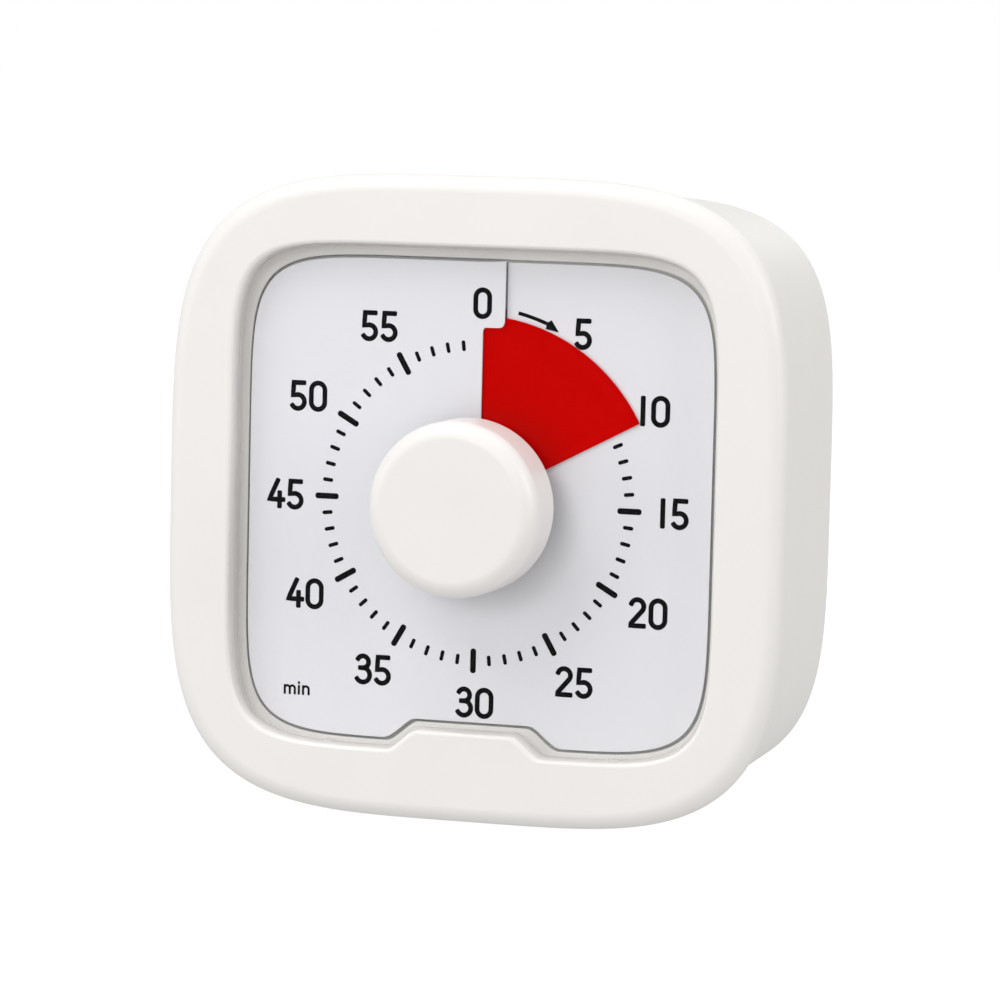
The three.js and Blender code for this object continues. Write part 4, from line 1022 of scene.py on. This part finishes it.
def battery_cell():
    """An AA cell: a dark sleeve, a copper-coloured shoulder at the button, and bare metal ends."""
    start, end = CELL_END - CELL_LENGTH, CELL_END
    shoulder = end - CELL_BUTTON["height"]
    button = CELL_BUTTON["radius"]
    flat = start + CELL_FLAT_END["inset"]
    profile = with_rounds([
        (0, flat), (CELL_FLAT_END["radius"], flat), (CELL_FLAT_END["rim"], start), (CELL_RADIUS, start),
        (CELL_RADIUS, shoulder), (button, shoulder), (button, end), (0, end)], 0.55, 6)
    cell = x_turned("battery_cell", profile)
    finish_piece(cell, "housing", "cell", MATERIALS["cell"], MATERIALS["steel"], MATERIALS["copper"],
                 replaces=["aa_cell"])
    axis = place(0, CELL_Y, CELL_Z)
    for face in cell.data.polygons:
        across = math.hypot(face.center.y - axis.y, face.center.z - axis.z) * 1000
        bare = across < CELL_RADIUS - 0.6
        face.material_index = 1 if bare else 2 if face.center.x * 1000 > end - CELL_SHOULDER else 0
    return cell


def contact_spring():
    """A cone of wire that presses on the cell's flat end."""
    turns, sides, steps = 4, 14, 300
    wire, margin = 0.4, 0.75
    wide, narrow = 5.2, 2.6
    start, end = -BAY["half"] + margin, CELL_END - CELL_LENGTH - margin
    rings = []
    for i in range(steps + 1):
        t = i / steps
        angle = 2 * math.pi * turns * t
        radius = wide + (narrow - wide) * t
        x = start + (end - start) * t
        centre = Vector((x, CELL_Y + radius * math.cos(angle), CELL_Z + radius * math.sin(angle)))
        outward = Vector((0, math.cos(angle), math.sin(angle)))
        along = Vector((1, 0, 0))
        rings.append([tuple(centre + outward * wire * c + along * wire * s) for c, s in around(sides)])
    piece = loft("contact_spring", rings)
    return finish_piece(piece, "housing", "steel", MATERIALS["steel"], replaces=["battery_spring"])


def contact_leaf():
    """The positive contact: a flat leaf with rounded corners."""
    x = BAY["half"] - 0.6
    half_y, half_z, corner = 6.0, 5.0, 1.2
    outline = rounded_ring(-half_y, half_y, -half_z, half_z, corner, 0.0)
    rings = [[(x + depth, CELL_Y + a, CELL_Z + b) for a, _, b in outline] for depth in (0.0, 0.4)]
    piece = loft("contact_leaf", rings)
    soften(piece, 0.08, 2)
    return finish_piece(piece, "housing", "steel", MATERIALS["steel"], replaces=["contact_plate"])


# ------------------------------------------------------------------ inner pieces kept from the CAD model

def carried_over():
    """Every CAD node that is still shown gets its slot's material, and a small round on its edges."""
    slots = {part["node"]: part["material_slot"] for part in frame["record"]["subparts"]}
    for name, piece in frame["nodes"].items():
        if piece.hide_render:
            continue
        material = MATERIALS[slots[name]]
        if not piece.data.materials:
            piece.data.materials.append(material)
        for i in range(len(piece.data.materials)):
            piece.data.materials[i] = material
        weld = piece.modifiers.new("weld", "WELD")
        weld.merge_threshold = 1e-6
        soften(piece, 0.12, 2)


# ------------------------------------------------------------------ studio

FOCAL_LENGTH = 163.67          # mm
STAND = Vector((8.70, -27.23, 2.70)) * MARK_RADIUS / 1000       # from the dial's centre, m
AIM = Vector((0.00307, 0.0, 0.0006))
ROLL = math.radians(1.35)


def floor():
    """A wide white sheet that is lit from within and neither lights nor shades the object."""
    size = 40.0
    mesh = bpy.data.meshes.new("floor")
    corners = [(-size, -size, 0), (size, -size, 0), (size, size, 0), (-size, size, 0)]
    mesh.from_pydata(corners, [], [(0, 1, 2, 3)])
    made = bpy.data.objects.new("floor", mesh)
    bpy.context.scene.collection.objects.link(made)
    material, _, shader = blank("floor_paper")
    shader.inputs["Base Color"].default_value = (0.12, 0.12, 0.12, 1)
    shader.inputs["Roughness"].default_value = 0.9
    shader.inputs["Specular IOR Level"].default_value = 0.0
    shader.inputs["Emission Color"].default_value = (1, 1, 1, 1)
    shader.inputs["Emission Strength"].default_value = 0.95
    mesh.materials.append(material)
    made.visible_diffuse = False
    made.visible_glossy = False
    made.visible_shadow = False


def world(seen, given):
    """White surroundings, brighter to the camera than they light the object."""
    made = bpy.data.worlds.new("studio")
    made.use_nodes = True
    tree = made.node_tree
    background = tree.nodes["Background"]
    background.inputs["Color"].default_value = (1, 1, 1, 1)
    path = node(tree, "ShaderNodeLightPath")
    strength = ramp(tree, path.outputs["Is Camera Ray"], given, seen, 0.0, 1.0)
    tree.links.new(strength, background.inputs["Strength"])
    bpy.context.scene.world = made


def area_light(name, offset, size, power):
    """A square soft light at an offset from the dial's centre, aimed at it."""
    data = bpy.data.lights.new(name, "AREA")
    data.shape = "SQUARE"
    data.size = size
    data.energy = power
    light = bpy.data.objects.new(name, data)
    light.location = DIAL_CENTRE + Vector(offset)
    light.rotation_mode = "QUATERNION"
    light.rotation_quaternion = (-Vector(offset)).to_track_quat("-Z", "Y")
    bpy.context.scene.collection.objects.link(light)


def camera():
    """A long lens that looks at the dial from the right and a little above, rolled a little."""
    data = bpy.data.cameras.new("camera")
    data.lens = FOCAL_LENGTH
    data.sensor_width = 36.0
    data.clip_start, data.clip_end = 0.01, 50
    made = bpy.data.objects.new("camera", data)
    stand = DIAL_CENTRE + STAND
    forward = (DIAL_CENTRE + AIM - stand).normalized()
    level = forward.cross(Vector((0, 0, 1))).normalized()
    right = level * math.cos(ROLL) + level.cross(forward) * math.sin(ROLL)
    up = right.cross(forward)
    made.matrix_world = Matrix.Translation(stand) @ Matrix((right, up, -forward)).transposed().to_4x4()
    bpy.context.scene.collection.objects.link(made)
    bpy.context.scene.camera = made


def studio():
    floor()
    world(1.0, 0.62)
    area_light("key", (-0.16, -0.95, 0.27), 0.25, 1.1)
    area_light("upper_left", (-0.35, -0.45, 0.80), 0.6, 3.8)
    area_light("left", (-0.90, -0.60, 0.20), 0.6, 1.8)
    area_light("top", (0.05, -0.10, 1.0), 0.7, 1.3)
    area_light("right", (1.0, -0.30, 0.35), 0.6, 3.6)
    area_light("back", (0.30, 0.90, 0.60), 0.6, 0.9)
    area_light("below", (-0.10, -0.50, -0.75), 1.2, 0.9)
    camera()
    view = bpy.context.scene.view_settings
    view.view_transform = "Standard"
    view.look = "None"


front_bezel()
window_lens()
back_shell()
battery_hatch()
magnets()
feet()
dial_face()
red_sector()
knob()
numerals()
minute_marks()
turn_arrow()
unit_mark()
volume_button()
sounder_can()
battery_cell()
contact_spring()
contact_leaf()
carried_over()
studio()
